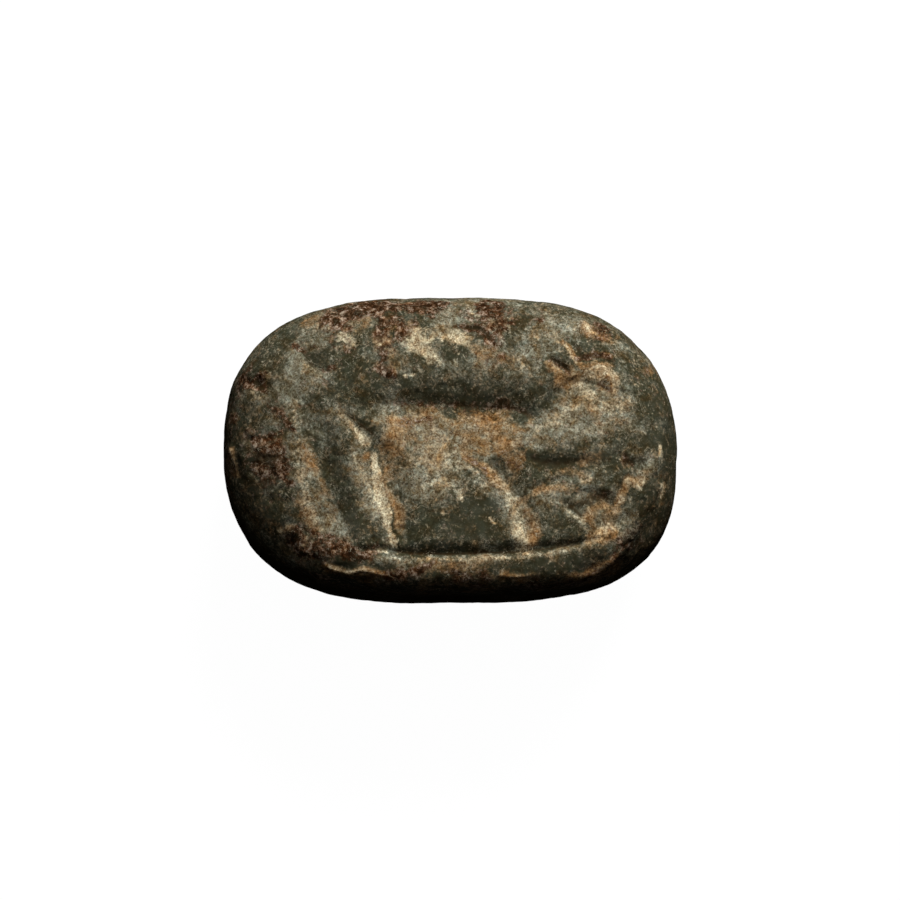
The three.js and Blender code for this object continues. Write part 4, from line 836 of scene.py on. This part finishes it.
def face_squareness(x, y):
    """How boxy the face's edge is in a place's direction, eased from one row of the table to the next."""
    turn, value = np.array(FACE_SQUARENESS).T
    angle = np.degrees(np.arctan2(y, x))
    span = np.clip(np.searchsorted(turn, angle) - 1, 0, len(turn) - 2)
    share = (angle - turn[span]) / (turn[span + 1] - turn[span])
    return value[span] + (value[span + 1] - value[span]) * share**2 * (3 - 2 * share)


def outward(x, y, z):
    """The unit normal of the uncut stone: the gradient of gauge ** squareness + rise ** squareness."""
    upper = z >= WAIST_HEIGHT
    share = np.maximum(gauge(x, y), TINY)
    squareness = np.where(upper, face_squareness(x, y), BACK_SQUARENESS)
    height = np.where(upper, FACE_RISE, BACK_DROP)
    across = across_squareness(x, y)
    u, v = x / HALF_LENGTH / share, y / HALF_WIDTH / share
    along_pull = OUTLINE_ALONG * np.abs(u) ** (OUTLINE_ALONG - 1) * np.sign(u) / HALF_LENGTH
    across_pull = across * np.abs(v) ** (across - 1) * np.sign(v) / HALF_WIDTH
    spread = OUTLINE_ALONG * np.abs(u) ** OUTLINE_ALONG + across * np.abs(v) ** across
    pull = share ** (squareness - 1) / np.maximum(spread, TINY)
    climb = (z - WAIST_HEIGHT) / height
    up = np.abs(climb) ** (squareness - 1) * np.sign(climb) / height
    normal = np.stack([pull * along_pull, pull * across_pull, up], axis=1)
    normal[z <= 0] = (0, 0, -1)
    return normal / np.linalg.norm(normal, axis=1, keepdims=True)


def face_point(x, y):
    """The uncut face over a place of the plan: its height is that of the superellipse over the gauge."""
    share = gauge(x, y)
    squareness = face_squareness(x, y)
    height = np.maximum(0, 1 - share**squareness) ** (1 / squareness)
    return np.stack([x, y, WAIST_HEIGHT + FACE_RISE * height], axis=1)


def sunk(points):
    """How deep the stone's surface lies under the uncut form: on the face the cuts less the ridges, and
    everywhere flakes, waves, pits and grain, which come in above the back's flat."""
    x, y, z = points.T
    ridge = np.max([stroke(x, y, rows, RIDGE_KEEN, RIDGE_KEEN) for rows in RIDGES], axis=0)
    cut = (engraving(x, y) - ridge) * rise(z, *FACE_FADE)
    flaked = np.zeros(len(x))
    for *middle, radius, depth in FLAKES:
        away = np.linalg.norm(points - middle, axis=1) / radius
        flaked = np.maximum(flaked, depth * (1 - np.clip(away, 0, 1) ** FLAKE_KEEN) ** 2)
    waves = sum(height * rough(points, size, seed, 2) for height, size, seed in WAVES)
    pits = sum(depth * np.maximum(0, noise(points, size, seed) - level) for depth, size, seed, level in PITS)
    grain = (1 + rise(cut, 0, DEEP_CUT)) * GRAIN_HEIGHT * rough(points, GRAIN_SIZE, GRAIN_SEED, 2)
    return cut + (flaked + waves + pits + grain) * rise(z, 0, WEAR_FADE)


def square_ring(columns, rows):
    """The places round a grid's border, in order, as whole-number columns and rows, from the lower left."""
    along, up = np.arange(columns), np.arange(rows)
    column = np.concatenate([along, np.full(rows, columns), columns - along, np.zeros(rows, int)])
    row = np.concatenate([np.zeros(columns, int), up, np.full(columns, rows), rows - up])
    return column, row


def squircle(columns, rows, reach):
    """A grid of places inside the outline: square rings, each drawn in to a superellipse of its own share."""
    s, t = np.meshgrid(np.linspace(-1, 1, columns + 1), np.linspace(-1, 1, rows + 1))
    s, t = s.ravel(), t.ravel()
    pull = reach * np.maximum(np.abs(s), np.abs(t)) / gauge(s * HALF_LENGTH, t * HALF_WIDTH)
    return s * pull * HALF_LENGTH, t * pull * HALF_WIDTH


def grid_quads(columns, rows):
    """The corners of a grid's quads, for places numbered row by row, turning left."""
    corner = (np.arange(rows)[:, None] * (columns + 1) + np.arange(columns)[None, :]).ravel()
    return np.stack([corner, corner + 1, corner + columns + 2, corner + columns + 1], axis=1)


def bulge(start_share, end_share, squareness, rings):
    """Shares of outline and of height down a quarter superellipse, at even angles from its middle."""
    def slant(share):
        return np.arctan2((1 - share**squareness) ** (1 / squareness), share)
    step = np.linspace(0, 1, rings + 1)[1:, None]
    angle = slant(start_share) + (slant(end_share) - slant(start_share)) * step
    radius = (np.cos(angle) ** squareness + np.sin(angle) ** squareness) ** (-1 / squareness)
    return radius * np.cos(angle), radius * np.sin(angle)


def stone_mesh():
    """The uncut stone as one closed skin: the face's grid, rings down its side and round its back to the
    flat, and the flat's grid. A ring is a share of the outline, at the height that the bulge has there."""
    x, y = squircle(FACE_COLUMNS, FACE_ROWS, FACE_SHARE)
    face = face_point(x, y)
    column, row = square_ring(FACE_COLUMNS, FACE_ROWS)
    fine = row * (FACE_COLUMNS + 1) + column
    rim_x, rim_y = x[fine][::2] / FACE_SHARE, y[fine][::2] / FACE_SHARE
    count = len(rim_x)
    one = np.ones(count)
    side_share, side_rise = bulge(FACE_SHARE * one, one, face_squareness(rim_x, rim_y), SIDE_RINGS)
    back_share, back_fall = bulge(FLAT_SHARE * one, one, BACK_SQUARENESS * one, BACK_RINGS)
    back_share = np.vstack([back_share[-2::-1], FLAT_SHARE * one[None]])
    back_fall = np.vstack([back_fall[-2::-1], WAIST_HEIGHT / BACK_DROP * one[None]])
    share = np.vstack([side_share, back_share])
    height = np.vstack([WAIST_HEIGHT + FACE_RISE * side_rise, WAIST_HEIGHT - BACK_DROP * back_fall])
    height[-1] = 0
    rings = np.stack([share * rim_x, share * rim_y, height], axis=2).reshape(-1, 3)
    first = len(face)
    here, after = np.arange(count), (np.arange(count) + 1) % count
    middle, end = fine[1::2], fine[::2][after]
    triangles = np.vstack([
        np.stack([fine[::2], first + here, middle], axis=1),
        np.stack([middle, first + here, first + after], axis=1),
        np.stack([middle, first + after, end], axis=1)])
    level = first + count * np.arange(len(share) - 1)[:, None]
    wall = np.stack([level + here, level + count + here, level + count + after, level + after], axis=2)
    flat_columns, flat_rows = FACE_COLUMNS // 2, FACE_ROWS // 2
    flat_x, flat_y = squircle(flat_columns, flat_rows, FLAT_SHARE)
    flat = np.stack([flat_x, flat_y, np.zeros(len(flat_x))], axis=1)
    flat_start = first + len(rings)
    column, row = square_ring(flat_columns, flat_rows)
    rename = np.arange(flat_start + len(flat))
    rename[flat_start + row * (flat_columns + 1) + column] = flat_start - count + here
    under = rename[flat_start + grid_quads(flat_columns, flat_rows)[:, ::-1]]
    quads = np.vstack([grid_quads(FACE_COLUMNS, FACE_ROWS), wall.reshape(-1, 4), under])
    return np.vstack([face, rings, flat]), triangles, quads


def add_mesh(name, points, triangles, quads):
    """A Blender object of millimetre points and outward faces, shaded smooth, with unused points left out,
    and the numbers of the points that are used."""
    used = np.unique(np.concatenate([triangles.ravel(), quads.ravel()]))
    rename = np.zeros(len(points), int)
    rename[used] = np.arange(len(used))
    corners = np.concatenate([rename[triangles].ravel(), rename[quads].ravel()])
    sizes = np.concatenate([np.full(len(triangles), 3), np.full(len(quads), 4)])
    mesh = bpy.data.meshes.new(name)
    mesh.vertices.add(len(used))
    mesh.vertices.foreach_set("co", (points[used] * MM).astype(np.float32).ravel())
    mesh.loops.add(len(corners))
    mesh.loops.foreach_set("vertex_index", corners.astype(np.int32))
    mesh.polygons.add(len(sizes))
    mesh.polygons.foreach_set("loop_start", np.concatenate([[0], np.cumsum(sizes)[:-1]]).astype(np.int32))
    mesh.update(calc_edges=True)
    mesh.validate()
    mesh.polygons.foreach_set("use_smooth", np.ones(len(mesh.polygons), bool))
    made = bpy.data.objects.new(name, mesh)
    bpy.context.scene.collection.objects.link(made)
    return made, used


def set_layer(mesh, name, value):
    """Keeps one number for each point of a mesh, for its material to read."""
    layer = mesh.attributes.new(name, "FLOAT", "POINT")
    layer.data.foreach_set("value", value.astype(np.float32))


def cord_drill():
    """What the cord hole takes out: circles along X, narrowest in the middle, with a fan of triangles over
    each end. The circles are turned a little, so that the drill's edges miss those of the stone."""
    end = HALF_LENGTH + HOLE_OVERRUN
    along = np.linspace(-end, end, DRILL_STEPS + 1)
    widening = (HOLE_MOUTH_DIAMETER - HOLE_WAIST_DIAMETER) * np.abs(along) / end
    radius = (HOLE_WAIST_DIAMETER + widening) / 2
    turn = (np.arange(DRILL_SIDES) + DRILL_TURN) * 2 * np.pi / DRILL_SIDES
    rings = np.stack([
        np.repeat(along[:, None], DRILL_SIDES, axis=1),
        np.outer(radius, np.cos(turn)),
        WAIST_HEIGHT + np.outer(radius, np.sin(turn))], axis=2).reshape(-1, 3)
    tips = np.array([(-end, 0, WAIST_HEIGHT), (end, 0, WAIST_HEIGHT)])
    here, after = np.arange(DRILL_SIDES), (np.arange(DRILL_SIDES) + 1) % DRILL_SIDES
    level = DRILL_SIDES * np.arange(DRILL_STEPS)[:, None]
    beyond = level + DRILL_SIDES
    wall = np.stack([beyond + here, beyond + after, level + after, level + here], axis=2).reshape(-1, 4)
    low, high = len(rings), len(rings) + 1
    last = DRILL_SIDES * DRILL_STEPS
    caps = np.vstack([
        np.stack([np.full(DRILL_SIDES, low), after, here], axis=1),
        np.stack([np.full(DRILL_SIDES, high), last + here, last + after], axis=1)])
    drill, _ = add_mesh("cord_drill", np.vstack([rings, tips]), caps, wall)
    return drill


def bore(made, drill):
    """Cuts the drill out of a piece for good, and throws the drill away."""
    cut = made.modifiers.new("cord_hole", "BOOLEAN")
    cut.operation = "DIFFERENCE"
    cut.solver = "EXACT"
    cut.object = drill
    finished = made.evaluated_get(bpy.context.evaluated_depsgraph_get())
    mesh = bpy.data.meshes.new_from_object(finished)
    made.modifiers.clear()
    made.data = mesh
    bpy.data.objects.remove(drill)


def stain_piece(made):
    """Gives each point of a piece the strength of every stain there: on the face that of its strokes, and
    elsewhere noise. Bloom films the unpolished face, earth and rust lie in patches along its low edge, and
    the low wall gets painted shade."""
    mesh = made.data
    flat = np.zeros(len(mesh.vertices) * 3, np.float32)
    mesh.vertices.foreach_get("co", flat)
    points = flat.reshape(-1, 3).astype(float) / MM
    _, y, z = points.T
    strays = stray(points)
    top = {}
    for name, (strokes, spread, gain) in STAINS.items():
        top[name] = gain * stain(points, strokes, strays, spread)
    unpolished = 1 - top["polish"]
    low_edge = rise(-y, *LOW_EDGE)
    bloom = (1 - LOW_EDGE_CLEAN * low_edge) * patches(points, *BLOOM)
    top["pale"] = (bloom + top["pale"]) * unpolished
    for name, values in LOW_EDGE_STAINS.items():
        top[name] += low_edge * unpolished * np.maximum(0, patches(points, *values))
    side = {name: patches(points, *values) for name, values in SIDE_STAINS.items()}
    # The low wall is darkened as painted shade, since it faces away from the key lamp.
    side["dark_dirt_and_shade"] += LOW_WALL_PAINTED_SHADE * rise(-y, *LOW_WALL_TURN) * rise(-z, *LOW_WALL_FALL)
    face = rise(z, *FACE_FADE)
    for name, strength in top.items():
        set_layer(mesh, name, np.clip(face * strength + (1 - face) * side[name], 0, MOST_STAIN))


def finish_piece(made, node, material):
    """Stains a piece, gives it its material, hides the part's own mesh and hangs the piece under the root
    body.
    """
    stain_piece(made)
    made.data.materials.clear()
    made.data.materials.append(material)
    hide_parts(node)
    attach(made, "root")


def seal_stone(material):
    """The stone: its skin sunk along the uncut form's normals, bored for the cord."""
    points, triangles, quads = stone_mesh()
    points = points - outward(*points.T) * sunk(points)[:, None]
    made, _ = add_mesh("seal_stone_carved", points, triangles, quads)
    bore(made, cord_drill())
    finish_piece(made, "seal_stone", material)


def deposit(node, strokes, material, grain_size, crumble, seed):
    """A skin of earth or crust on the cut face: over a square grid, its top is the stone's surface raised by
    the strokes' height and roughened, its underside lies in the stone, and a wall of quads joins the two."""
    rows = np.vstack([through(s) for s in strokes])
    margin = DEPOSIT_MARGIN * rows[:, 2:4].max()
    low = rows[:, :2].min(axis=0) - margin
    high = rows[:, :2].max(axis=0) + margin
    columns, lines = np.ceil((high - low) / DEPOSIT_STEP).astype(int)
    along = low[0] + DEPOSIT_STEP * np.arange(columns + 1)
    up = low[1] + DEPOSIT_STEP * np.arange(lines + 1)
    x, y = (places.ravel() for places in np.meshgrid(along, up))
    base = face_point(x, y)
    strays = stray(base)
    body = np.max([ragged(base, s, strays, CRUST_KEEN) for s in strokes], axis=0)
    crumbs = crumble * body * rough(base, CRUMB_SIZE * grain_size, seed)
    grains = (GRAINS_AT_EDGE + GRAINS_IN_BODY * body) * noise(base, grain_size, seed + GRAINS_SEED)
    height = body + crumbs + grains - DEPOSIT_SETTLE
    kept = height > -DEPOSIT_EDGE
    cells = grid_quads(columns, lines)
    cells = cells[kept[cells].any(axis=1) & (gauge(x, y)[cells].max(axis=1) < DEPOSIT_LIMIT)]
    normal = outward(*base.T)
    depth = sunk(base)[:, None]
    top = base + normal * (np.maximum(height, -DEPOSIT_EDGE)[:, None] - depth)
    under = base - normal * (DEPOSIT_ROOT + depth)
    count = len(base)
    edges = np.vstack([cells[:, [a, (a + 1) % 4]] for a in range(4)])
    code = edges[:, 0] * count + edges[:, 1]
    border = edges[~np.isin(code, edges[:, 1] * count + edges[:, 0])]
    start, end = border.T
    wall = np.stack([end, start, start + count, end + count], axis=1)
    quads = np.vstack([cells, cells[:, ::-1] + count, wall])
    made, used = add_mesh(node + "_skin", np.vstack([top, under]), np.zeros((0, 3), int), quads)
    set_layer(made.data, "cover", np.tile(rise(height, 0, FULL_COVER), 2)[used])
    finish_piece(made, node, material)


class Finish:
    """A material in the making. Each call adds a node or two and hands back the output."""

    def __init__(self, name):
        self.material = bpy.data.materials.new(name)
        self.material.use_nodes = True
        self.nodes = self.material.node_tree.nodes
        self.links = self.material.node_tree.links
        self.shader = self.nodes["Principled BSDF"]
        self.place = self.nodes.new("ShaderNodeTexCoord").outputs["Object"]

    def feed(self, socket, value):
        """Links an output to a socket, or sets the socket's own value."""
        if isinstance(value, bpy.types.NodeSocket):
            self.links.new(value, socket)
        elif isinstance(value, tuple):
            socket.default_value = (*value, 1)
        else:
            socket.default_value = value

    def reckon(self, operation, *values):
        """One step of arithmetic on outputs or numbers."""
        made = self.nodes.new("ShaderNodeMath")
        made.operation = operation
        for socket, given in zip(made.inputs, values):
            self.feed(socket, given)
        return made.outputs[0]

    def sums(self, value, factor, added=0.0):
        """value * factor + added"""
        return self.reckon("MULTIPLY_ADD", value, factor, added)

    def half(self, first, second):
        """The middle of two values."""
        return self.sums(first, 0.5, self.sums(second, 0.5))

    def speckle(self, size, seed, detail=3.0, roughness=0.6, twist=0.0):
        """Noise whose largest blots are about that many millimetres across."""
        made = self.nodes.new("ShaderNodeTexNoise")
        made.noise_dimensions = "4D"
        self.links.new(self.place, made.inputs["Vector"])
        made.inputs["W"].default_value = seed
        made.inputs["Scale"].default_value = 1 / (size * MM)
        made.inputs["Detail"].default_value = detail
        made.inputs["Roughness"].default_value = roughness
        made.inputs["Distortion"].default_value = twist
        return made.outputs["Fac"]

    def layer(self, name):
        """A number kept at the mesh's points."""
        made = self.nodes.new("ShaderNodeAttribute")
        made.attribute_name = name
        return made.outputs["Fac"]

    def step(self, value, low, high, start=0.0, end=1.0):
        """A smooth change from start to end while the value goes from low to high."""
        made = self.nodes.new("ShaderNodeMapRange")
        made.interpolation_type = "SMOOTHSTEP"
        for socket, given in zip(made.inputs, (value, low, high, start, end)):
            self.feed(socket, given)
        return made.outputs[0]

    def ramp(self, value, steps):
        """A colour that runs through the steps as the value rises."""
        made = self.nodes.new("ShaderNodeValToRGB")
        self.links.new(value, made.inputs["Fac"])
        elements = made.color_ramp.elements
        while len(elements) < len(steps):
            elements.new(0.5)
        for element, (level, colour) in zip(elements, steps):
            element.position = level
            element.color = (*colour, 1)
        return made.outputs["Color"]

    def mix(self, share, first, second, blend="MIX"):
        """Two colours mixed, or blended another way."""
        made = self.nodes.new("ShaderNodeMix")
        made.data_type = "RGBA"
        made.blend_type = blend
        self.feed(made.inputs["Factor"], share)
        colours = [socket for socket in made.inputs if socket.type == "RGBA"]
        self.feed(colours[0], first)
        self.feed(colours[1], second)
        return next(socket for socket in made.outputs if socket.type == "RGBA")

    def broken(self, name, noises, low, high):
        """How much of a stain shows: its layer's strength with noises added, each times its weight and taken
        from its middle, eased from low to high."""
        total = self.layer(name)
        for speckles, weight in noises:
            total = self.sums(speckles, weight, total)
        middle = sum(weight for _, weight in noises) / 2
        return self.step(total, low + middle, high + middle)

    def strands(self, size, seed, strength):
        """Thin curled hairs, here and there: where a twisted noise is near its middle."""
        curl = self.speckle(size, seed, detail=2.0, roughness=0.5, twist=1.4)
        away = self.reckon("ABSOLUTE", self.reckon("SUBTRACT", curl, 0.5))
        line = self.step(away, HAIR_EDGE, HAIR_CORE)
        here = self.step(self.speckle(HAIR_PATCH, seed + HAIR_SEED), 0.46, 0.62)
        return self.sums(self.sums(line, here), strength)

    def done(self, colour, roughness, height, relief, specular):
        """Hands the colour, the roughness and a fine relief to the shader."""
        bump = self.nodes.new("ShaderNodeBump")
        bump.inputs["Distance"].default_value = relief * MM
        bump.inputs["Strength"].default_value = 1.0
        self.links.new(height, bump.inputs["Height"])
        self.links.new(bump.outputs["Normal"], self.shader.inputs["Normal"])
        self.feed(self.shader.inputs["Base Color"], colour)
        self.feed(self.shader.inputs["Roughness"], roughness)
        self.shader.inputs["Specular IOR Level"].default_value = specular
        return self.material


def aged(name, body, relief):
    """Olive stone, or another body where it covers the stone, under bloom, tan earth, cream lime, rust, deep
    brown dirt, hairs, painted highlights on some lit walls and painted shade in the cuts, peppered with dust
    and tinted by a slow noise. Polish thins the grain, hairs and tint."""
    f = Finish(name)
    grain = f.speckle(0.16, seed=1, detail=2.0, roughness=0.7)
    grit = f.speckle(0.4, seed=2, roughness=0.65)
    cloud = f.speckle(1.2, seed=3, twist=0.6)
    fibre = f.speckle(0.55, seed=4, detail=4.0, roughness=0.65, twist=1.8)
    blot = f.speckle(0.65, seed=7, twist=0.8)
    flecks = f.speckle(0.16, seed=15, detail=0.0)
    smears = f.speckle(0.5, seed=9, twist=0.8)
    crumb = f.speckle(0.3, seed=10, roughness=0.8)
    hue = f.speckle(0.9, seed=18, detail=5.0, roughness=0.75, twist=0.5)
    streaks = f.speckle(0.5, seed=19, roughness=0.7, twist=3.0)
    fine_dust = f.speckle(0.075, seed=13, detail=1.0, roughness=0.8)
    dust = f.half(fine_dust, f.speckle(0.12, seed=21, detail=1.0, roughness=0.8))
    shade = f.half(blot, fibre)
    pepper = f.ramp(f.sums(dust, 0.75, f.sums(streaks, 0.4, -0.075)), PEPPER)

    def film(value, steps):
        return f.mix(1.0, f.ramp(value, steps), pepper, "MULTIPLY")

    polish = f.layer("polish")
    worn = f.step(polish, *POLISH_RANGE, start=1.0, end=0.2)
    colour = f.ramp(f.half(cloud, blot), BARE_STONE)
    grained = f.mix(1.0, colour, f.step(grain, 0.3, 0.7, start=0.7, end=1.3), "MULTIPLY")
    colour = f.mix(worn, colour, grained)
    colour = f.mix(f.step(flecks, 0.74, 0.84, end=0.5), colour, HAIR)
    if body:
        cover = f.broken("cover", [(grit, 1.6)], 0.0, 1.1)
        clods = f.speckle(0.7, seed=5, detail=2.0, twist=0.8)
        colour = f.mix(cover, colour, film(f.half(clods, fibre), body))
    # Bloom film, with painted light from a few strokes.
    pale = f.broken("pale", [(grain, 1.2), (fibre, 1.6), (cloud, 0.6)], 0.0, 1.2)
    colour = f.mix(pale, colour, film(shade, BLOOM_FILM_AND_HIGHLIGHT))
    tan = f.broken("tan", [(fibre, 2.0), (cloud, 1.2), (grain, 1.2)], 0.0, 1.3)
    colour = f.mix(tan, colour, film(f.half(smears, grit), TAN_FILM))
    # Cream lime, with painted highlights from some strokes.
    cream = f.broken("cream", [(grain, 1.4), (fibre, 1.4)], 0.1, 1.1)
    colour = f.mix(cream, colour, film(shade, CREAM_LIME_AND_HIGHLIGHT))
    rust = f.broken("rust", [(crumb, 1.6), (grit, 2.0)], 0.15, 0.8)
    colour = f.mix(rust, colour, f.ramp(crumb, RUST_FILM))
    # Painted shade in the cuts, together with real dark dirt, from the dark strokes.
    dark_dirt_and_shade = f.broken("dark_dirt_and_shade", [(grit, 1.0)], 0.1, 0.9)
    colour = f.mix(dark_dirt_and_shade, colour, DARK_BROWN)
    colour = f.mix(f.strands(0.36, seed=16, strength=f.sums(worn, 0.45)), colour, DARK_BROWN)
    colour = f.mix(f.strands(0.44, seed=11, strength=f.sums(worn, 0.6)), colour, HAIR)
    tinted = f.step(polish, *POLISH_RANGE, start=1.0, end=0.6)
    colour = f.mix(tinted, colour, f.ramp(hue, TINT), "MULTIPLY")
    height = f.sums(grain, 0.5, grit)
    return f.done(colour, roughness=0.9, height=height, relief=relief, specular=0.0)


def pale_floor():
    """A floor that shows white to the camera and in reflections, keeps the seal's shadow and throws little
    light."""
    reach = 3.0
    glow_strength = 0.985
    dim = 0.05
    mesh = bpy.data.meshes.new("floor")
    corners = [(-reach, -reach, 0), (reach, -reach, 0), (reach, reach, 0), (-reach, reach, 0)]
    mesh.from_pydata(corners, [], [(0, 1, 2, 3)])
    made = bpy.data.objects.new("floor", mesh)
    bpy.context.scene.collection.objects.link(made)
    material = bpy.data.materials.new("pale_floor")
    material.use_nodes = True
    nodes, links = material.node_tree.nodes, material.node_tree.links
    nodes.clear()
    matt = nodes.new("ShaderNodeBsdfDiffuse")
    matt.inputs["Color"].default_value = (dim, dim, dim, 1)
    glow = nodes.new("ShaderNodeEmission")
    strength = nodes.new("ShaderNodeMath")
    strength.operation = "MULTIPLY"
    strength.inputs[1].default_value = glow_strength
    links.new(seen_directly(nodes, links), strength.inputs[0])
    links.new(strength.outputs[0], glow.inputs["Strength"])
    both = nodes.new("ShaderNodeAddShader")
    links.new(glow.outputs[0], both.inputs[0])
    links.new(matt.outputs[0], both.inputs[1])
    out = nodes.new("ShaderNodeOutputMaterial")
    links.new(both.outputs[0], out.inputs["Surface"])
    mesh.materials.append(material)


def seen_directly(nodes, links):
    """1 for what the camera sees, itself or in a reflection or through glass, and 0 for light that strays."""
    path = nodes.new("ShaderNodeLightPath")
    total = path.outputs["Is Camera Ray"]
    for kind in ("Is Glossy Ray", "Is Transmission Ray"):
        either = nodes.new("ShaderNodeMath")
        either.operation = "MAXIMUM"
        links.new(total, either.inputs[0])
        links.new(path.outputs[kind], either.inputs[1])
        total = either.outputs[0]
    return total


def lamp(name, direction, distance, size, watts):
    """A square soft lamp that looks at the seal from a direction."""
    data = bpy.data.lights.new(name, "AREA")
    data.size = size
    data.energy = watts
    made = bpy.data.objects.new(name, data)
    aim = Vector((0, 0, 0.008))
    made.location = aim + Vector(direction).normalized() * distance
    made.rotation_euler = (aim - made.location).to_track_quat("-Z", "Y").to_euler()
    bpy.context.scene.collection.objects.link(made)


def studio():
    """A raking key lamp from the top of the picture, a weak lamp from overhead, and a dim room."""
    room_light = 0.008
    lamp("key_lamp", direction=(0.28, 0.8, 0.62), distance=0.3, size=0.14, watts=1.25)
    lamp("top_lamp", direction=(0.0, 0.25, 1.0), distance=0.4, size=0.2, watts=0.17)
    world = bpy.data.worlds.new("room")
    bpy.context.scene.world = world
    world.use_nodes = True
    nodes, links = world.node_tree.nodes, world.node_tree.links
    level = nodes.new("ShaderNodeMapRange")
    level.inputs["To Min"].default_value = room_light
    level.inputs["To Max"].default_value = 1.0
    links.new(seen_directly(nodes, links), level.inputs["Value"])
    nodes["Background"].inputs["Color"].default_value = (1, 1, 1, 1)
    links.new(level.outputs[0], nodes["Background"].inputs["Strength"])


def camera():
    """A long lens over the face, a little to the bottom of the picture."""
    elevation = math.radians(81)
    picture_width = 0.04977
    lens, sensor = 200.0, 36.0
    data = bpy.data.cameras.new("camera")
    data.lens = lens
    data.sensor_width = sensor
    made = bpy.data.objects.new("camera", data)
    aim = Vector((0, 0.00017, 0.005))
    back = Vector((0, -math.cos(elevation), math.sin(elevation)))
    made.location = aim + back * (picture_width * lens / sensor)
    made.rotation_euler = (-back).to_track_quat("-Z", "Y").to_euler()
    bpy.context.scene.collection.objects.link(made)
    bpy.context.scene.camera = made


bpy.context.scene.view_settings.view_transform = "Standard"
camera()
studio()
pale_floor()
seal_stone(aged("olive_stone", None, STONE_RELIEF))
for slot, finish, body, relief, pieces, grain_size, crumble, first_seed in DEPOSITS:
    material = aged(finish, body, relief)
    for number, (node, strokes) in enumerate(pieces.items()):
        deposit(node, strokes, material, grain_size, crumble, first_seed + SEED_STEP * number)
